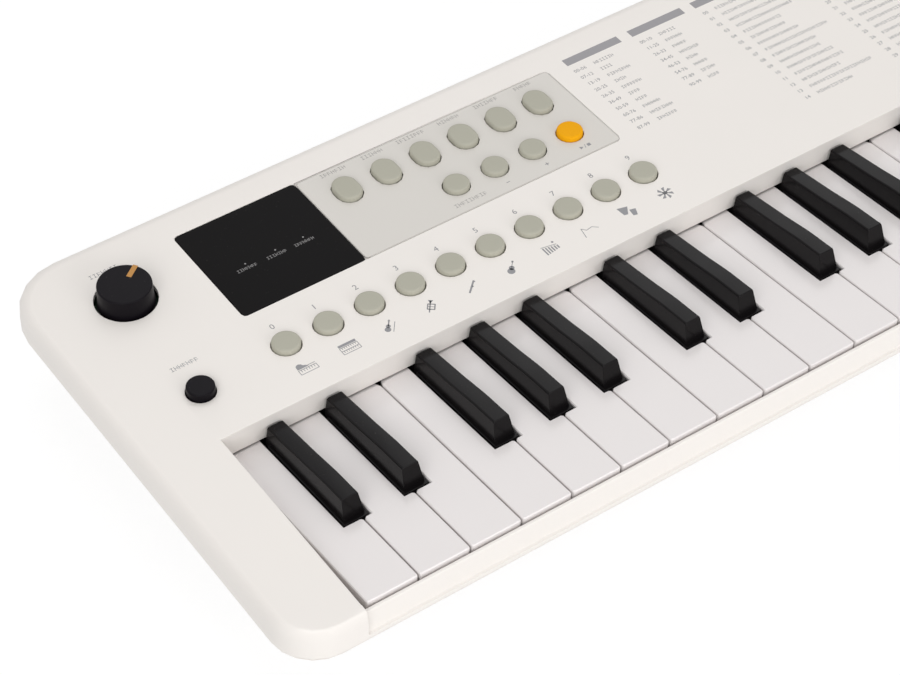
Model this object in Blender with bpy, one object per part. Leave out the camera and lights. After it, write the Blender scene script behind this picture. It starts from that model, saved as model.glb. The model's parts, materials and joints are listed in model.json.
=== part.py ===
"""Portable keyboard with 37 mini keys, built as separate named solids in metres with +Z up.

Every length below is in millimetres in the keyboard's own layout: X from the left side of the lowest C,
Y back from the fronts of the white keys and Z up from the flat top panel. place() turns a finished solid
into metres in the part's frame, which has its origin under the middle of the case, on the table.
"""

import math

import bpy
from mathutils import Vector

# Frame
MM = 0.001
PANEL_HEIGHT = 44.0
MIDDLE_X = 220.0
MIDDLE_Y = 93.3

# General clearances
SEAT_GAP = 0.3
ARC = 5

# Case
CASE_LEFT = -28.5
CASE_RIGHT = 468.5
CASE_FRONT = -4.8
CASE_BACK = 191.4
SPLIT_Z = -13.0
BASE_Z = -41.0
WALL = 2.2
TOP_EDGE_DROP = 6.0
TOP_INSET_SIDE = 3.0
TOP_INSET_FRONT = 1.8
TOP_INSET_BACK = 6.0
FRONT_CORNER = 16.4
BACK_CORNER = 22.0
# Lower shell: height, inset at the front and sides, inset at the back, front corner, back corner
HULL = (
    (SPLIT_Z - SEAT_GAP, 0.3, 0.3, 16.2, 21.8),
    (-15.0, 1.3, 0.3, 15.8, 21.4),
    (-17.0, 3.0, 0.4, 15.4, 21.0),
    (-20.5, 6.3, 0.6, 15.0, 20.4),
    (-30.0, 15.2, 1.7, 13.8, 18.8),
    (-39.6, 23.7, 4.6, 12.4, 16.6),
    (BASE_Z, 26.6, 7.4, 12.0, 16.0),
)
FLOOR_Z = -39.0

# Key bay
BAY_LEFT = -2.3
BAY_RIGHT = 442.3
BAY_BACK = 83.2
BAY_BACK_WALL_FOOT = -9.6
RAIL_INNER = -0.9
RAIL_TOP_FRONT = -2.1
RAIL_TOP_Z = -2.9
RAIL_STEP_Y = -3.7
RAIL_STEP_Z = -10.9

# Keys
PITCH = 20.0
WHITE_COUNT = 22
KEY_GAP = 0.55
WHITE_LENGTH = 82.57
WHITE_FRONT_Z = -1.525
WHITE_FALL = 8.555
WHITE_BOTTOM_FRONT = -9.0
WHITE_BOTTOM_BACK = -14.5
SLOT_FRONT = 32.3
# Slots for the black keys inside one octave of 140 mm, left and right side
SLOTS = ((12.6, 23.3), (36.1, 46.6), (72.2, 83.05), (94.7, 105.5), (117.2, 128.0))
KEY_EDGE = 0.45
KEY_WALL = 1.3
BLACK_BASE = 8.2
BLACK_TOP = 6.3
BLACK_FRONT = 34.4
BLACK_BACK = 82.3
BLACK_LEAN = 2.3
# Height of a black key's top above the white surface, by distance from the front
BLACK_TOP_LINE = ((36.7, 7.95), (49.4, 8.1), (61.6, 7.1), (74.0, 6.5), (82.3, 6.08))

# Key hinge: round boss on each key's tail, seated in the key frame's groove
PIVOT_Y = 97.0
PIVOT_Z = -12.2
BOSS_RADIUS = 2.2
TAIL_HALF_WIDTH = 3.4
TAIL_TOP = -10.7
TAIL_BOTTOM = -13.7
TAIL_END = 104.0
GROOVE_RADIUS = BOSS_RADIUS + SEAT_GAP

# Buttons: centres, hole radius and cap radius
NUMBER_Y = 107.8
NUMBER_X = [38.7 + 17.0 * k for k in range(10)]
OVAL_Y = 161.0
OVAL_X = [98.2 + 16.97 * k for k in range(6)]
ROUND_Y = 140.9
ROUND_X = (132.04, 149.17, 166.15)
PLAY_X = 183.0
NUMBER_HOLE = 5.54
ROUND_HOLE = 5.34
CAP_GAP = 0.42
OVAL_HOLE_HALF_WIDTH = 5.27
OVAL_HOLE_HALF_LENGTH = 6.8
# The panel's holes under the grey sheet are a little wider than the sheet's own
UNDER_SHEET = 0.6
OVAL_UNDER_SHEET = (OVAL_HOLE_HALF_WIDTH + UNDER_SHEET, OVAL_HOLE_HALF_LENGTH + UNDER_SHEET)
CAP_HEIGHT = 1.9
CAP_DOME = 0.75
WEB_TOP = -2.5
WEB_BOTTOM = -4.0

# Power button and volume knob
POWER_X = 3.82
POWER_Y = 106.0
POWER_HOLE = 5.42
POWER_CAP = 5.0
POWER_DISH = 8.4
POWER_DISH_DEPTH = 0.6
KNOB_X = 4.9
KNOB_Y = 158.0
KNOB_HOLE = 11.3
KNOB_TOP_RADIUS = 9.72
KNOB_SKIRT_RADIUS = 10.25
KNOB_TOP_Z = 7.2
KNOB_FOOT_Z = -1.6
POINTER_ANGLE = 53.5
SHAFT_RADIUS = 3.0

# Display window and grey panel sheet
DISPLAY = (33.7, 84.15, 127.2, 175.4)
DISPLAY_DEPTH = 1.2
SHEET = (84.45, 197.0, 127.3, 174.9)
SHEET_DEPTH = 0.7
LED_WINDOW = (46.0, 74.0, 139.0, 163.0)

# Panel board
BOARD = (-16.0, 209.0, 99.5, 178.0)
BOARD_TOP = -5.4
BOARD_THICKNESS = 1.6
BOARD_SCREWS = ((45.0, 121.5), (112.0, 122.0), (203.0, 122.0), (24.0, 171.0), (80.0, 119.5), (203.0, 171.0))

# Key frame and contact strip
FRAME_X = (-0.6, 440.6)
DECK_TOP = -18.7
DECK_BOTTOM = -20.5
GROOVE_BLOCK_TOP = -14.0
STOP_RIB = (7.0, 11.0, -14.8)
STRIP_Y = 54.0

# Screw columns that join the two shells
COLUMNS = ((26.0, 121.0), (215.0, 121.0), (432.0, 121.0), (26.0, 183.0), (310.0, 183.0), (432.0, 183.0))
COLUMN_RADIUS = 4.2
COUNTERBORE = (2.8, 2.0)

# Battery bay and door, open to the back edge of the base so that the door can slide out
BATTERY_BAY = (164.0, 276.0, 142.0, 178.0)
BATTERY_CEILING = -21.0
DOOR = (160.0, 280.0, 138.0)
DOOR_TOP = -38.9
DOOR_TONGUE = 1.8

# Sockets in the back wall: a block behind it, a flat power slot and a round headphone hole
SOCKET_BLOCK = (392.0, 422.0, 181.0, 189.0, -33.0, -21.0)
USB_SLOT = (396.0, 405.4, -29.2, -25.6)
JACK = (414.0, -27.4, 1.8)

# Speakers and feet
SPEAKERS = (("speaker_left", 78.0, 148.0), ("speaker_right", 362.0, 148.0))
FEET = (
    ("foot_front_left", 12.0, 32.0),
    ("foot_front_right", 428.0, 32.0),
    ("foot_back_left", 12.0, 170.0),
    ("foot_back_right", 428.0, 170.0),
)
FOOT_RADIUS = 6.5
FOOT_RECESS = 0.8
SLOT_WIDTH = 2.6

# Colours
IVORY = (0.80, 0.76, 0.72)
KEY_WHITE = (0.76, 0.75, 0.74)
KEY_BLACK = (0.017, 0.016, 0.017)
RUBBER_GREY = (0.42, 0.41, 0.33)
YELLOW = (0.86, 0.40, 0.012)
KNOB_BLACK = (0.018, 0.017, 0.022)
WINDOW_BLACK = (0.014, 0.013, 0.014)
SHEET_GREY = (0.66, 0.63, 0.60)
BOARD_GREEN = (0.03, 0.16, 0.07)
FRAME_GREY = (0.25, 0.25, 0.25)
SPEAKER_BLACK = (0.03, 0.03, 0.03)
FOOT_BLACK = (0.05, 0.05, 0.05)
METAL = (0.6, 0.6, 0.58)


for old in list(bpy.data.objects):
    bpy.data.objects.remove(old, do_unlink=True)


def solid(points, faces):
    """A hidden working object in layout millimetres."""
    mesh = bpy.data.meshes.new("work")
    mesh.from_pydata([Vector(point) for point in points], [], faces)
    mesh.update()
    work = bpy.data.objects.new("work", mesh)
    bpy.context.scene.collection.objects.link(work)
    return work


def loft(rings, first_caps=None):
    """Closed solid through rings of equal length, each anticlockwise seen from the last ring's side."""
    count = len(rings[0])
    points = [point for ring in rings for point in ring]
    faces = [list(face) for face in first_caps or (range(count - 1, -1, -1),)]
    for level in range(len(rings) - 1):
        low = level * count
        high = low + count
        for i in range(count):
            j = (i + 1) % count
            faces.append([low + i, low + j, high + j, high + i])
    faces.append([(len(rings) - 1) * count + i for i in range(count)])
    return solid(points, faces)


def box(x0, x1, y0, y1, z0, z1):
    ring = [(x0, y0), (x1, y0), (x1, y1), (x0, y1)]
    return loft([[(x, y, z) for x, y in ring] for z in (z0, z1)])


def prism(outline, z0, z1):
    return loft([[(x, y, z) for x, y in outline] for z in (z0, z1)])


def bar(section, x0, x1):
    """A section of (Y, Z) points, anticlockwise with Y to the right and Z up, drawn out along X."""
    return loft([[(x, y, z) for y, z in section] for x in (x0, x1)])


def circle(x, y, radius, count):
    turn = 2 * math.pi / count
    return [(x + radius * math.cos(turn * i), y + radius * math.sin(turn * i)) for i in range(count)]


def rod(x, y, radius, z0, z1, count=16):
    return prism(circle(x, y, radius, count), z0, z1)


def rod_y(x, z, radius, y0, y1, count=16):
    return loft([[(2 * x - px, y, pz) for px, pz in circle(x, z, radius, count)] for y in (y0, y1)])


def turned(x, y, profile, count):
    """A turned solid about the vertical through (x, y). The profile's (radius, z) points run up its outside."""
    return loft([[(px, py, z) for px, py in circle(x, y, radius, count)] for radius, z in profile])


def stadium(x, y, half_width, half_length, count=9):
    """A slot along Y with round ends."""
    straight = half_length - half_width
    points = []
    for i in range(count):
        angle = math.pi * i / (count - 1)
        points.append((x + half_width * math.cos(angle), y + straight + half_width * math.sin(angle)))
    for i in range(count):
        angle = math.pi + math.pi * i / (count - 1)
        points.append((x + half_width * math.cos(angle), y - straight + half_width * math.sin(angle)))
    return points


def round_rect(x0, x1, y0, y1, front, back, steps=ARC):
    """An anticlockwise rectangle with one radius at its front corners and one at its back corners."""
    corners = (
        (x1 - back, y1 - back, back, 0.0),
        (x0 + back, y1 - back, back, 0.5),
        (x0 + front, y0 + front, front, 1.0),
        (x1 - front, y0 + front, front, 1.5),
    )
    points = []
    for x, y, radius, start in corners:
        for i in range(steps + 1):
            angle = math.pi * (start + 0.5 * i / steps)
            points.append((x + radius * math.cos(angle), y + radius * math.sin(angle)))
    return points


def rounded(outline, radii):
    """The outline with each corner replaced by an arc of its own radius. A radius of 0 leaves it sharp."""
    points = []
    count = len(outline)
    for i in range(count):
        corner = Vector(outline[i])
        radius = radii[i]
        if radius == 0:
            points.append(tuple(corner))
            continue
        back = (Vector(outline[i - 1]) - corner).normalized()
        ahead = (Vector(outline[(i + 1) % count]) - corner).normalized()
        centre = corner + (back + ahead) * radius
        steps = 2 if radius > 0.85 else 1
        for k in range(steps + 1):
            angle = 0.5 * math.pi * k / steps
            points.append(tuple(centre - ahead * radius * math.cos(angle) - back * radius * math.sin(angle)))
    return points


def inset(outline, distance):
    """The outline moved inwards along the mean of its neighbouring edges' normals."""
    moved = []
    count = len(outline)
    for i in range(count):
        before = Vector(outline[i]) - Vector(outline[i - 1])
        after = Vector(outline[(i + 1) % count]) - Vector(outline[i])
        first = Vector((-before.y, before.x)).normalized()
        second = Vector((-after.y, after.x)).normalized()
        middle = (first + second) / max(0.3, 1.0 + first.dot(second))
        moved.append(tuple(Vector(outline[i]) + middle * distance))
    return moved


def gather(parts):
    """Several working solids as one working object. They mustn't touch one another."""
    points = []
    faces = []
    for part in parts:
        start = len(points)
        points += [vertex.co.copy() for vertex in part.data.vertices]
        faces += [[start + index for index in face.vertices] for face in part.data.polygons]
        bpy.data.objects.remove(part, do_unlink=True)
    return solid(points, faces)


def combine(body, other, operation):
    modifier = body.modifiers.new("work", "BOOLEAN")
    modifier.operation = operation
    modifier.solver = "EXACT"
    modifier.object = other
    graph = bpy.context.evaluated_depsgraph_get()
    mesh = bpy.data.meshes.new_from_object(body.evaluated_get(graph))
    body.modifiers.clear()
    body.data = mesh
    bpy.data.objects.remove(other, do_unlink=True)
    return body


def cut(body, *parts):
    return combine(body, gather(parts), "DIFFERENCE")


def join(body, *parts):
    return combine(body, gather(parts), "UNION")


def material(name, colour, roughness, metallic):
    made = bpy.data.materials.new(name)
    made.use_nodes = True
    shader = made.node_tree.nodes["Principled BSDF"]
    shader.inputs["Base Color"].default_value = (*colour, 1.0)
    shader.inputs["Roughness"].default_value = roughness
    shader.inputs["Metallic"].default_value = metallic
    return made


def place(work, name, colour, roughness=0.5, metallic=0.0, origin=(MIDDLE_X, MIDDLE_Y, -PANEL_HEIGHT), smooth=30.0):
    """Names the solid and turns it into metres in the part's frame, with its origin at a layout point."""
    mesh = work.data
    for vertex in mesh.vertices:
        vertex.co = (vertex.co - Vector(origin)) * MM
    shift = Vector(origin) - Vector((MIDDLE_X, MIDDLE_Y, -PANEL_HEIGHT))
    work.location = shift * MM
    work.name = name
    mesh.name = name
    mesh.materials.clear()
    mesh.materials.append(material(name, colour, roughness, metallic))
    mesh.shade_smooth()
    mesh.set_sharp_from_angle(angle=math.radians(smooth))
    return work


# Upper case


def case_ring(z, side, front, back, front_corner, back_corner, steps=ARC):
    outline = round_rect(
        CASE_LEFT + side, CASE_RIGHT - side, CASE_FRONT + front, CASE_BACK - back, front_corner, back_corner, steps
    )
    return [(x, y, z) for x, y in outline]


def upper_shell():
    """The moulded top: a curved edge all round, and straight sides down to the split."""
    rings = [
        case_ring(SPLIT_Z, 0.3, 0.3, 0.3, FRONT_CORNER, BACK_CORNER),
        case_ring(SPLIT_Z + 0.5, 0.0, 0.0, 0.0, FRONT_CORNER, BACK_CORNER),
    ]
    for step in (5, 4, 3, 2, 1, 0):
        angle = 0.5 * math.pi * step / 5
        share = 1.0 - math.sin(angle)
        rings.append(
            case_ring(
                -TOP_EDGE_DROP * (1.0 - math.cos(angle)),
                TOP_INSET_SIDE * share,
                TOP_INSET_FRONT * share,
                TOP_INSET_BACK * share,
                FRONT_CORNER - 2.4 * share,
                BACK_CORNER - 2.0 * share,
            )
        )
    return loft(rings)


def upper_cavity():
    """The hollow under the panel, less the block that stays round the key bay."""
    cavity = loft(
        [
            case_ring(SPLIT_Z - 1.0, WALL, WALL, WALL, 14.2, 19.8, 4),
            case_ring(-8.0, WALL, WALL, WALL, 14.2, 19.8, 4),
            case_ring(-WALL, WALL + 3.0, WALL + 1.8, WALL + 6.0, 12.0, 17.0, 4),
        ]
    )
    bay = box(BAY_LEFT - WALL, BAY_RIGHT + WALL, CASE_FRONT - 5, BAY_BACK + WALL, SPLIT_Z - 5, 5)
    return cut(cavity, bay)


upper = upper_shell()
upper = combine(upper, upper_cavity(), "DIFFERENCE")
upper = cut(upper, box(BAY_LEFT, BAY_RIGHT, RAIL_INNER, BAY_BACK, SPLIT_Z - 5, 5))
RAIL_SECTION = (
    (RAIL_STEP_Y, RAIL_STEP_Z),
    (RAIL_TOP_FRONT - 0.35, RAIL_TOP_Z - 1.0),
    (RAIL_TOP_FRONT, RAIL_TOP_Z),
    (RAIL_INNER + 0.4, RAIL_TOP_Z),
    (RAIL_INNER + 0.4, 5.0),
    (CASE_FRONT - 5.0, 5.0),
    (CASE_FRONT - 5.0, RAIL_STEP_Z - 0.5),
    (CASE_FRONT + 0.4, RAIL_STEP_Z - 0.1),
)
upper = cut(upper, bar(RAIL_SECTION, BAY_LEFT + 0.1, BAY_RIGHT - 0.1))
upper = cut(upper, box(BAY_LEFT, BAY_RIGHT, BAY_BACK - 0.5, BAY_BACK + WALL + 0.5, SPLIT_Z - 5, BAY_BACK_WALL_FOOT))
POWER_DISH_PROFILE = ((0.6, -POWER_DISH_DEPTH), (POWER_HOLE + 0.1, -POWER_DISH_DEPTH), (POWER_DISH, 0.0), (POWER_DISH + 1.4, 0.5))
upper = cut(
    upper,
    turned(POWER_X, POWER_Y, POWER_DISH_PROFILE, 24),
    prism(round_rect(DISPLAY[0], SHEET[0], DISPLAY[2], DISPLAY[3], 1.6, 1.6, 2), -DISPLAY_DEPTH, 2.0),
)
upper = cut(
    upper,
    prism(round_rect(DISPLAY[0] + 20, SHEET[1], SHEET[2], SHEET[3], 2.2, 2.2, 2), -SHEET_DEPTH, 2.0),
)
upper = cut(
    upper,
    *[rod(x, NUMBER_Y, NUMBER_HOLE, -6, 2, 20) for x in NUMBER_X],
    *[rod(x, ROUND_Y, ROUND_HOLE + UNDER_SHEET, -6, 2, 12) for x in (*ROUND_X, PLAY_X)],
    *[prism(stadium(x, OVAL_Y, *OVAL_UNDER_SHEET, 5), -6, 2) for x in OVAL_X],
    rod(POWER_X, POWER_Y, POWER_HOLE, -6, 2, 24),
    rod(KNOB_X, KNOB_Y, KNOB_HOLE, -6, 2, 36),
    box(*LED_WINDOW, -6, 2),
)
upper = join(
    upper,
    *[rod(x, y, 2.6, BOARD_TOP + SEAT_GAP, -1.6, 6) for x, y in BOARD_SCREWS],
    *[rod(x, y, 3.4, SPLIT_Z, -1.6, 6) for x, y in COLUMNS],
    box(BAY_LEFT + 1.5, BAY_RIGHT - 1.5, PIVOT_Y - 1.0, PIVOT_Y + 1.0, PIVOT_Z + BOSS_RADIUS + SEAT_GAP, -1.6),
)
place(upper, "upper_case", IVORY, 0.45)


# Lower case


def lower_shell():
    rings = [case_ring(z, side, side, back, front_r, back_r) for z, side, back, front_r, back_r in reversed(HULL)]
    hull = loft(rings)
    inner = []
    for z, side, back, front_r, back_r in reversed(HULL[:-2]):
        slope = WALL if z > -14.0 else 2.9
        inner.append(case_ring(z, side + slope, side + slope, back + WALL, front_r - 2.6, back_r - 2.2, 4))
    z, side, back, front_r, back_r = HULL[-2]
    inner.insert(0, case_ring(FLOOR_Z, side + 2.9, side + 2.9, back + WALL, front_r - 2.6, back_r - 2.2, 4))
    inner.append(case_ring(SPLIT_Z + 5, 2.5, 2.5, 2.5, 13.6, 19.6, 4))
    return combine(hull, loft(inner), "DIFFERENCE")


lower = lower_shell()
RIB_X = (6.0, 78.0, 149.0, 220.0, 291.0, 362.0, 434.0)
lower = join(
    lower,
    *[box(x - 1.0, x + 1.0, 26.0, 100.0, FLOOR_Z - 1.0, DECK_BOTTOM - SEAT_GAP) for x in RIB_X],
    *[rod(x, y, COLUMN_RADIUS, FLOOR_Z - 1.0, SPLIT_Z - SEAT_GAP, 6) for x, y in COLUMNS],
    box(BATTERY_BAY[0] - 2, BATTERY_BAY[1] + 2, BATTERY_BAY[2] - 2, BATTERY_BAY[3] + 2, FLOOR_Z - 1.0, BATTERY_CEILING + 2),
    *[box(x - 28.3, x - 26.3, 139.0, 157.0, FLOOR_Z - 1.0, -34.0) for _, x, _ in SPEAKERS],
    *[box(x + 26.3, x + 28.3, 139.0, 157.0, FLOOR_Z - 1.0, -34.0) for _, x, _ in SPEAKERS],
)
lower = join(lower, box(DOOR[0] - 5, DOOR[1] + 5, DOOR[2] - 3, CASE_BACK - 5.4, FLOOR_Z - 0.6, FLOOR_Z + 2.4))
lower = join(lower, box(*SOCKET_BLOCK))
GRILLE = []
for _, centre_x, centre_y in SPEAKERS:
    for row in range(-2, 3):
        reach = math.sqrt(22.0**2 - (7.5 * row) ** 2)
        slot = stadium(centre_y + 7.5 * row, centre_x, SLOT_WIDTH / 2, reach, 3)
        GRILLE.append(prism([(x, y) for y, x in reversed(slot)], BASE_Z - 2, FLOOR_Z + 1))
lower = cut(lower, *GRILLE)
lower = cut(
    lower,
    *[rod(x, y, FOOT_RADIUS + 0.25, BASE_Z - 2, BASE_Z + FOOT_RECESS, 16) for _, x, y in FEET],
    *[rod(x, y, COUNTERBORE[0], BASE_Z - 2, BASE_Z + COUNTERBORE[1], 10) for x, y in COLUMNS],
    box(*BATTERY_BAY, DOOR_TOP - 1.0, BATTERY_CEILING),
    box(*USB_SLOT[:2], CASE_BACK - 8.0, CASE_BACK + 5.0, *USB_SLOT[2:]),
    rod_y(JACK[0], JACK[1], JACK[2], CASE_BACK - 8.0, CASE_BACK + 5.0, 16),
)
DOOR_SLOT_TOP = DOOR_TOP + 0.2
DOOR_SLOT_END = CASE_BACK + 5.0
lower = cut(lower, box(DOOR[0] - SEAT_GAP, DOOR[1] + SEAT_GAP, DOOR[2] - SEAT_GAP, DOOR_SLOT_END, BASE_Z - 2, DOOR_SLOT_TOP))
lower = cut(
    lower,
    box(
        DOOR[0] - DOOR_TONGUE - SEAT_GAP,
        DOOR[1] + DOOR_TONGUE + SEAT_GAP,
        DOOR[2] - SEAT_GAP,
        DOOR_SLOT_END,
        DOOR_SLOT_TOP - 1.4,
        DOOR_SLOT_TOP,
    ),
)
place(lower, "lower_case", IVORY, 0.5)

# Battery door: a plate that slides out to the back on two side tongues, with grip grooves near its back edge
DOOR_SECTION = (
    (DOOR[2], BASE_Z),
    (CASE_BACK - 7.4, BASE_Z),
    (CASE_BACK - 5.0, BASE_Z + 1.2),
    (CASE_BACK - 4.4, DOOR_TOP),
    (DOOR[2], DOOR_TOP),
)
door = bar(DOOR_SECTION, DOOR[0], DOOR[1])
door = join(
    door, box(DOOR[0] - DOOR_TONGUE, DOOR[1] + DOOR_TONGUE, DOOR[2], CASE_BACK - 6.0, DOOR_SLOT_TOP - 1.15, DOOR_TOP)
)
door = cut(door, *[box(206.0, 234.0, y, y + 1.0, BASE_Z - 1, BASE_Z + 0.5) for y in (170.0, 173.0, 176.0, 179.0)])
place(door, "battery_door", IVORY, 0.5, origin=(MIDDLE_X, 160.0, BASE_Z + 1.0))

# Feet
for name, x, y in FEET:
    foot_top = BASE_Z + FOOT_RECESS - SEAT_GAP
    profile = ((FOOT_RADIUS - 0.5, -PANEL_HEIGHT), (FOOT_RADIUS, -PANEL_HEIGHT + 0.5), (FOOT_RADIUS, foot_top))
    place(turned(x, y, profile, 20), name, FOOT_BLACK, 0.8, origin=(x, y, -PANEL_HEIGHT))

# Speakers, facing down onto the grilles
for name, x, y in SPEAKERS:
    profile = (
        (3.5, 5.7),
        (8.0, 4.9),
        (21.5, 1.5),
        (24.0, 0.0),
        (26.0, 0.0),
        (26.0, 1.3),
        (24.4, 2.9),
        (15.0, 9.2),
        (17.0, 9.2),
        (17.0, 17.5),
    )
    raised = [(radius, FLOOR_Z + SEAT_GAP + z) for radius, z in profile]
    place(turned(x, y, raised, 14), name, SPEAKER_BLACK, 0.6, origin=(x, y, FLOOR_Z))


# Keys


def white_top(y):
    return WHITE_FRONT_Z - WHITE_FALL * y / WHITE_LENGTH


def white_bottom(y):
    return WHITE_BOTTOM_FRONT + (WHITE_BOTTOM_BACK - WHITE_BOTTOM_FRONT) * y / WHITE_LENGTH


def tail(centre_x, start_y):
    """The flat tail behind a key, with the round hinge boss across it."""
    half = 0.5 * (TAIL_TOP - TAIL_BOTTOM)
    reach = math.acos(half / BOSS_RADIUS)
    below = [-0.5 * math.pi + reach * step for step in (-1, 0, 1)]
    above = [0.5 * math.pi + reach * step for step in (-1, 0, 1)]
    section = [(start_y, TAIL_BOTTOM)]
    section += [(PIVOT_Y + BOSS_RADIUS * math.cos(a), PIVOT_Z + BOSS_RADIUS * math.sin(a)) for a in below]
    section += [(TAIL_END, TAIL_BOTTOM), (TAIL_END, TAIL_TOP)]
    section += [(PIVOT_Y + BOSS_RADIUS * math.cos(a), PIVOT_Z + BOSS_RADIUS * math.sin(a)) for a in above]
    section += [(start_y, TAIL_TOP)]
    return bar(section, centre_x - TAIL_HALF_WIDTH, centre_x + TAIL_HALF_WIDTH)


def pocket(x0, x1, y0, y1, cover):
    """A hollow open downwards whose roof stays below the white key surface by cover (above it if negative)."""
    section = [(y0, -30.0), (y1, -30.0), (y1, white_top(y1) - cover), (y0, white_top(y0) - cover)]
    return bar(section, x0, x1)


def white_key(index):
    octave, note = divmod(index, 7)
    start = 140.0 * octave
    left = PITCH * index + KEY_GAP / 2
    right = PITCH * (index + 1) - KEY_GAP / 2
    left_slot = {1: 0, 2: 1, 4: 2, 5: 3, 6: 4}.get(note)
    right_slot = {0: 0, 1: 1, 3: 2, 4: 3, 5: 4}.get(note) if index < WHITE_COUNT - 1 else None
    inner_left = left if left_slot is None else start + SLOTS[left_slot][1]
    inner_right = right if right_slot is None else start + SLOTS[right_slot][0]
    outline = [(left, 0.0), (right, 0.0)]
    radii = [0.9, 0.9]
    if right_slot is None:
        outline += [(right, WHITE_LENGTH)]
        radii += [1.0]
    else:
        outline += [(right, SLOT_FRONT), (inner_right, SLOT_FRONT), (inner_right, WHITE_LENGTH)]
        radii += [0.8, 0.0, 0.0]
    if left_slot is None:
        outline += [(left, WHITE_LENGTH)]
        radii += [1.0]
    else:
        outline += [(inner_left, WHITE_LENGTH), (inner_left, SLOT_FRONT), (left, SLOT_FRONT)]
        radii += [0.0, 0.0, 0.8]
    shape = rounded(outline, radii)
    crown = inset(shape, KEY_EDGE * 0.75)
    key = loft(
        [
            [(x, y, white_bottom(y)) for x, y in shape],
            [(x, y, white_top(y) - KEY_EDGE) for x, y in shape],
            [(x, y, white_top(y)) for x, y in crown],
        ]
    )
    centre = start + 6.5 if index == WHITE_COUNT - 1 else 0.5 * (inner_left + inner_right)
    key = join(key, tail(centre, 80.5))
    key = cut(
        key,
        pocket(left + KEY_WALL, right - KEY_WALL, 1.5, SLOT_FRONT - 1.6, 1.5),
        pocket(inner_left + KEY_WALL, inner_right - KEY_WALL, SLOT_FRONT + 1.6, STRIP_Y - 2.5, 1.5),
        pocket(inner_left + KEY_WALL, inner_right - KEY_WALL, STRIP_Y + 2.5, 79.5, 1.5),
    )
    return key, centre


def black_height(y):
    points = BLACK_TOP_LINE
    for (y0, h0), (y1, h1) in zip(points, points[1:]):
        if y <= y1:
            share = max(0.0, (y - y0) / (y1 - y0))
            return h0 + (h1 - h0) * share
    return points[-1][1]


def black_ring(centre, y, shrink, lean):
    """One ten-cornered section, leaning back above the white surface by lean at its top."""
    level = white_top(y)
    top = level + black_height(y) - shrink
    base = BLACK_BASE / 2 - shrink
    half = BLACK_TOP / 2 - shrink
    low = level - 4.4
    side = (
        (base, low),
        (base, level - 0.2),
        (half + 0.12, top - 1.0),
        (half - 0.25, top - 0.28),
        (half - 0.95, top),
    )
    ring = [(centre + w, z) for w, z in (side[0],)]
    ring += [(centre - w, z) for w, z in side]
    ring += [(centre + w, z) for w, z in reversed(side[1:])]
    return [(x, y + lean * max(0.0, (z - level) / (top - level)), z) for x, z in ring]


def black_key(centre):
    rings = [
        black_ring(centre, BLACK_FRONT, 0.4, BLACK_LEAN),
        black_ring(centre, BLACK_FRONT + 0.4, 0.0, BLACK_LEAN),
        black_ring(centre, 49.4, 0.0, 0.0),
        black_ring(centre, 68.0, 0.0, 0.0),
        black_ring(centre, BLACK_BACK, 0.0, 0.0),
    ]
    key = loft(rings, first_caps=([9, 2, 1, 0], [9, 8, 7, 6, 5, 4, 3, 2]))
    key = join(key, tail(centre, 80.5))
    key = cut(
        key,
        pocket(centre - 2.4, centre + 2.4, 38.5, 79.5, -3.4),
    )
    return key


WHITE_NAMES = ("c", "d", "e", "f", "g", "a", "b")
BLACK_NAMES = ("c_sharp", "d_sharp", "f_sharp", "g_sharp", "a_sharp")
key_centres = []
for index in range(WHITE_COUNT):
    key, centre = white_key(index)
    name = f"white_key_{WHITE_NAMES[index % 7]}{index // 7 + 1}"
    key_centres.append(centre)
    place(key, name, KEY_WHITE, 0.25, origin=(PITCH * (index + 0.5), PIVOT_Y, PIVOT_Z))
for octave in range(3):
    for slot, note in zip(SLOTS, BLACK_NAMES):
        centre = 140.0 * octave + 0.5 * (slot[0] + slot[1])
        key_centres.append(centre)
        place(black_key(centre), f"black_key_{note}{octave + 1}", KEY_BLACK, 0.3, origin=(centre, PIVOT_Y, PIVOT_Z))

# Key frame: deck, stop rib under the key fronts and the block with the hinge groove
half_chord = math.sqrt(GROOVE_RADIUS**2 - (PIVOT_Z - GROOVE_BLOCK_TOP) ** 2)
sweep = math.asin(half_chord / GROOVE_RADIUS)
FRAME_SECTION = [
    (STOP_RIB[0], DECK_BOTTOM),
    (TAIL_END + 2.0, DECK_BOTTOM),
    (TAIL_END + 2.0, GROOVE_BLOCK_TOP),
]
for step in range(7):
    angle = -0.5 * math.pi + sweep * (1.0 - step / 3.0)
    FRAME_SECTION.append((PIVOT_Y + GROOVE_RADIUS * math.cos(angle), PIVOT_Z + GROOVE_RADIUS * math.sin(angle)))
FRAME_SECTION += [
    (94.2, GROOVE_BLOCK_TOP - 0.3),
    (92.5, GROOVE_BLOCK_TOP - 1.4),
    (92.5, DECK_TOP),
    (STOP_RIB[1], DECK_TOP),
    (STOP_RIB[1], STOP_RIB[2]),
    (STOP_RIB[0], STOP_RIB[2]),
]
frame = bar(FRAME_SECTION, *FRAME_X)
place(frame, "key_frame", FRAME_GREY, 0.5, origin=(MIDDLE_X, PIVOT_Y, DECK_TOP))

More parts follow.
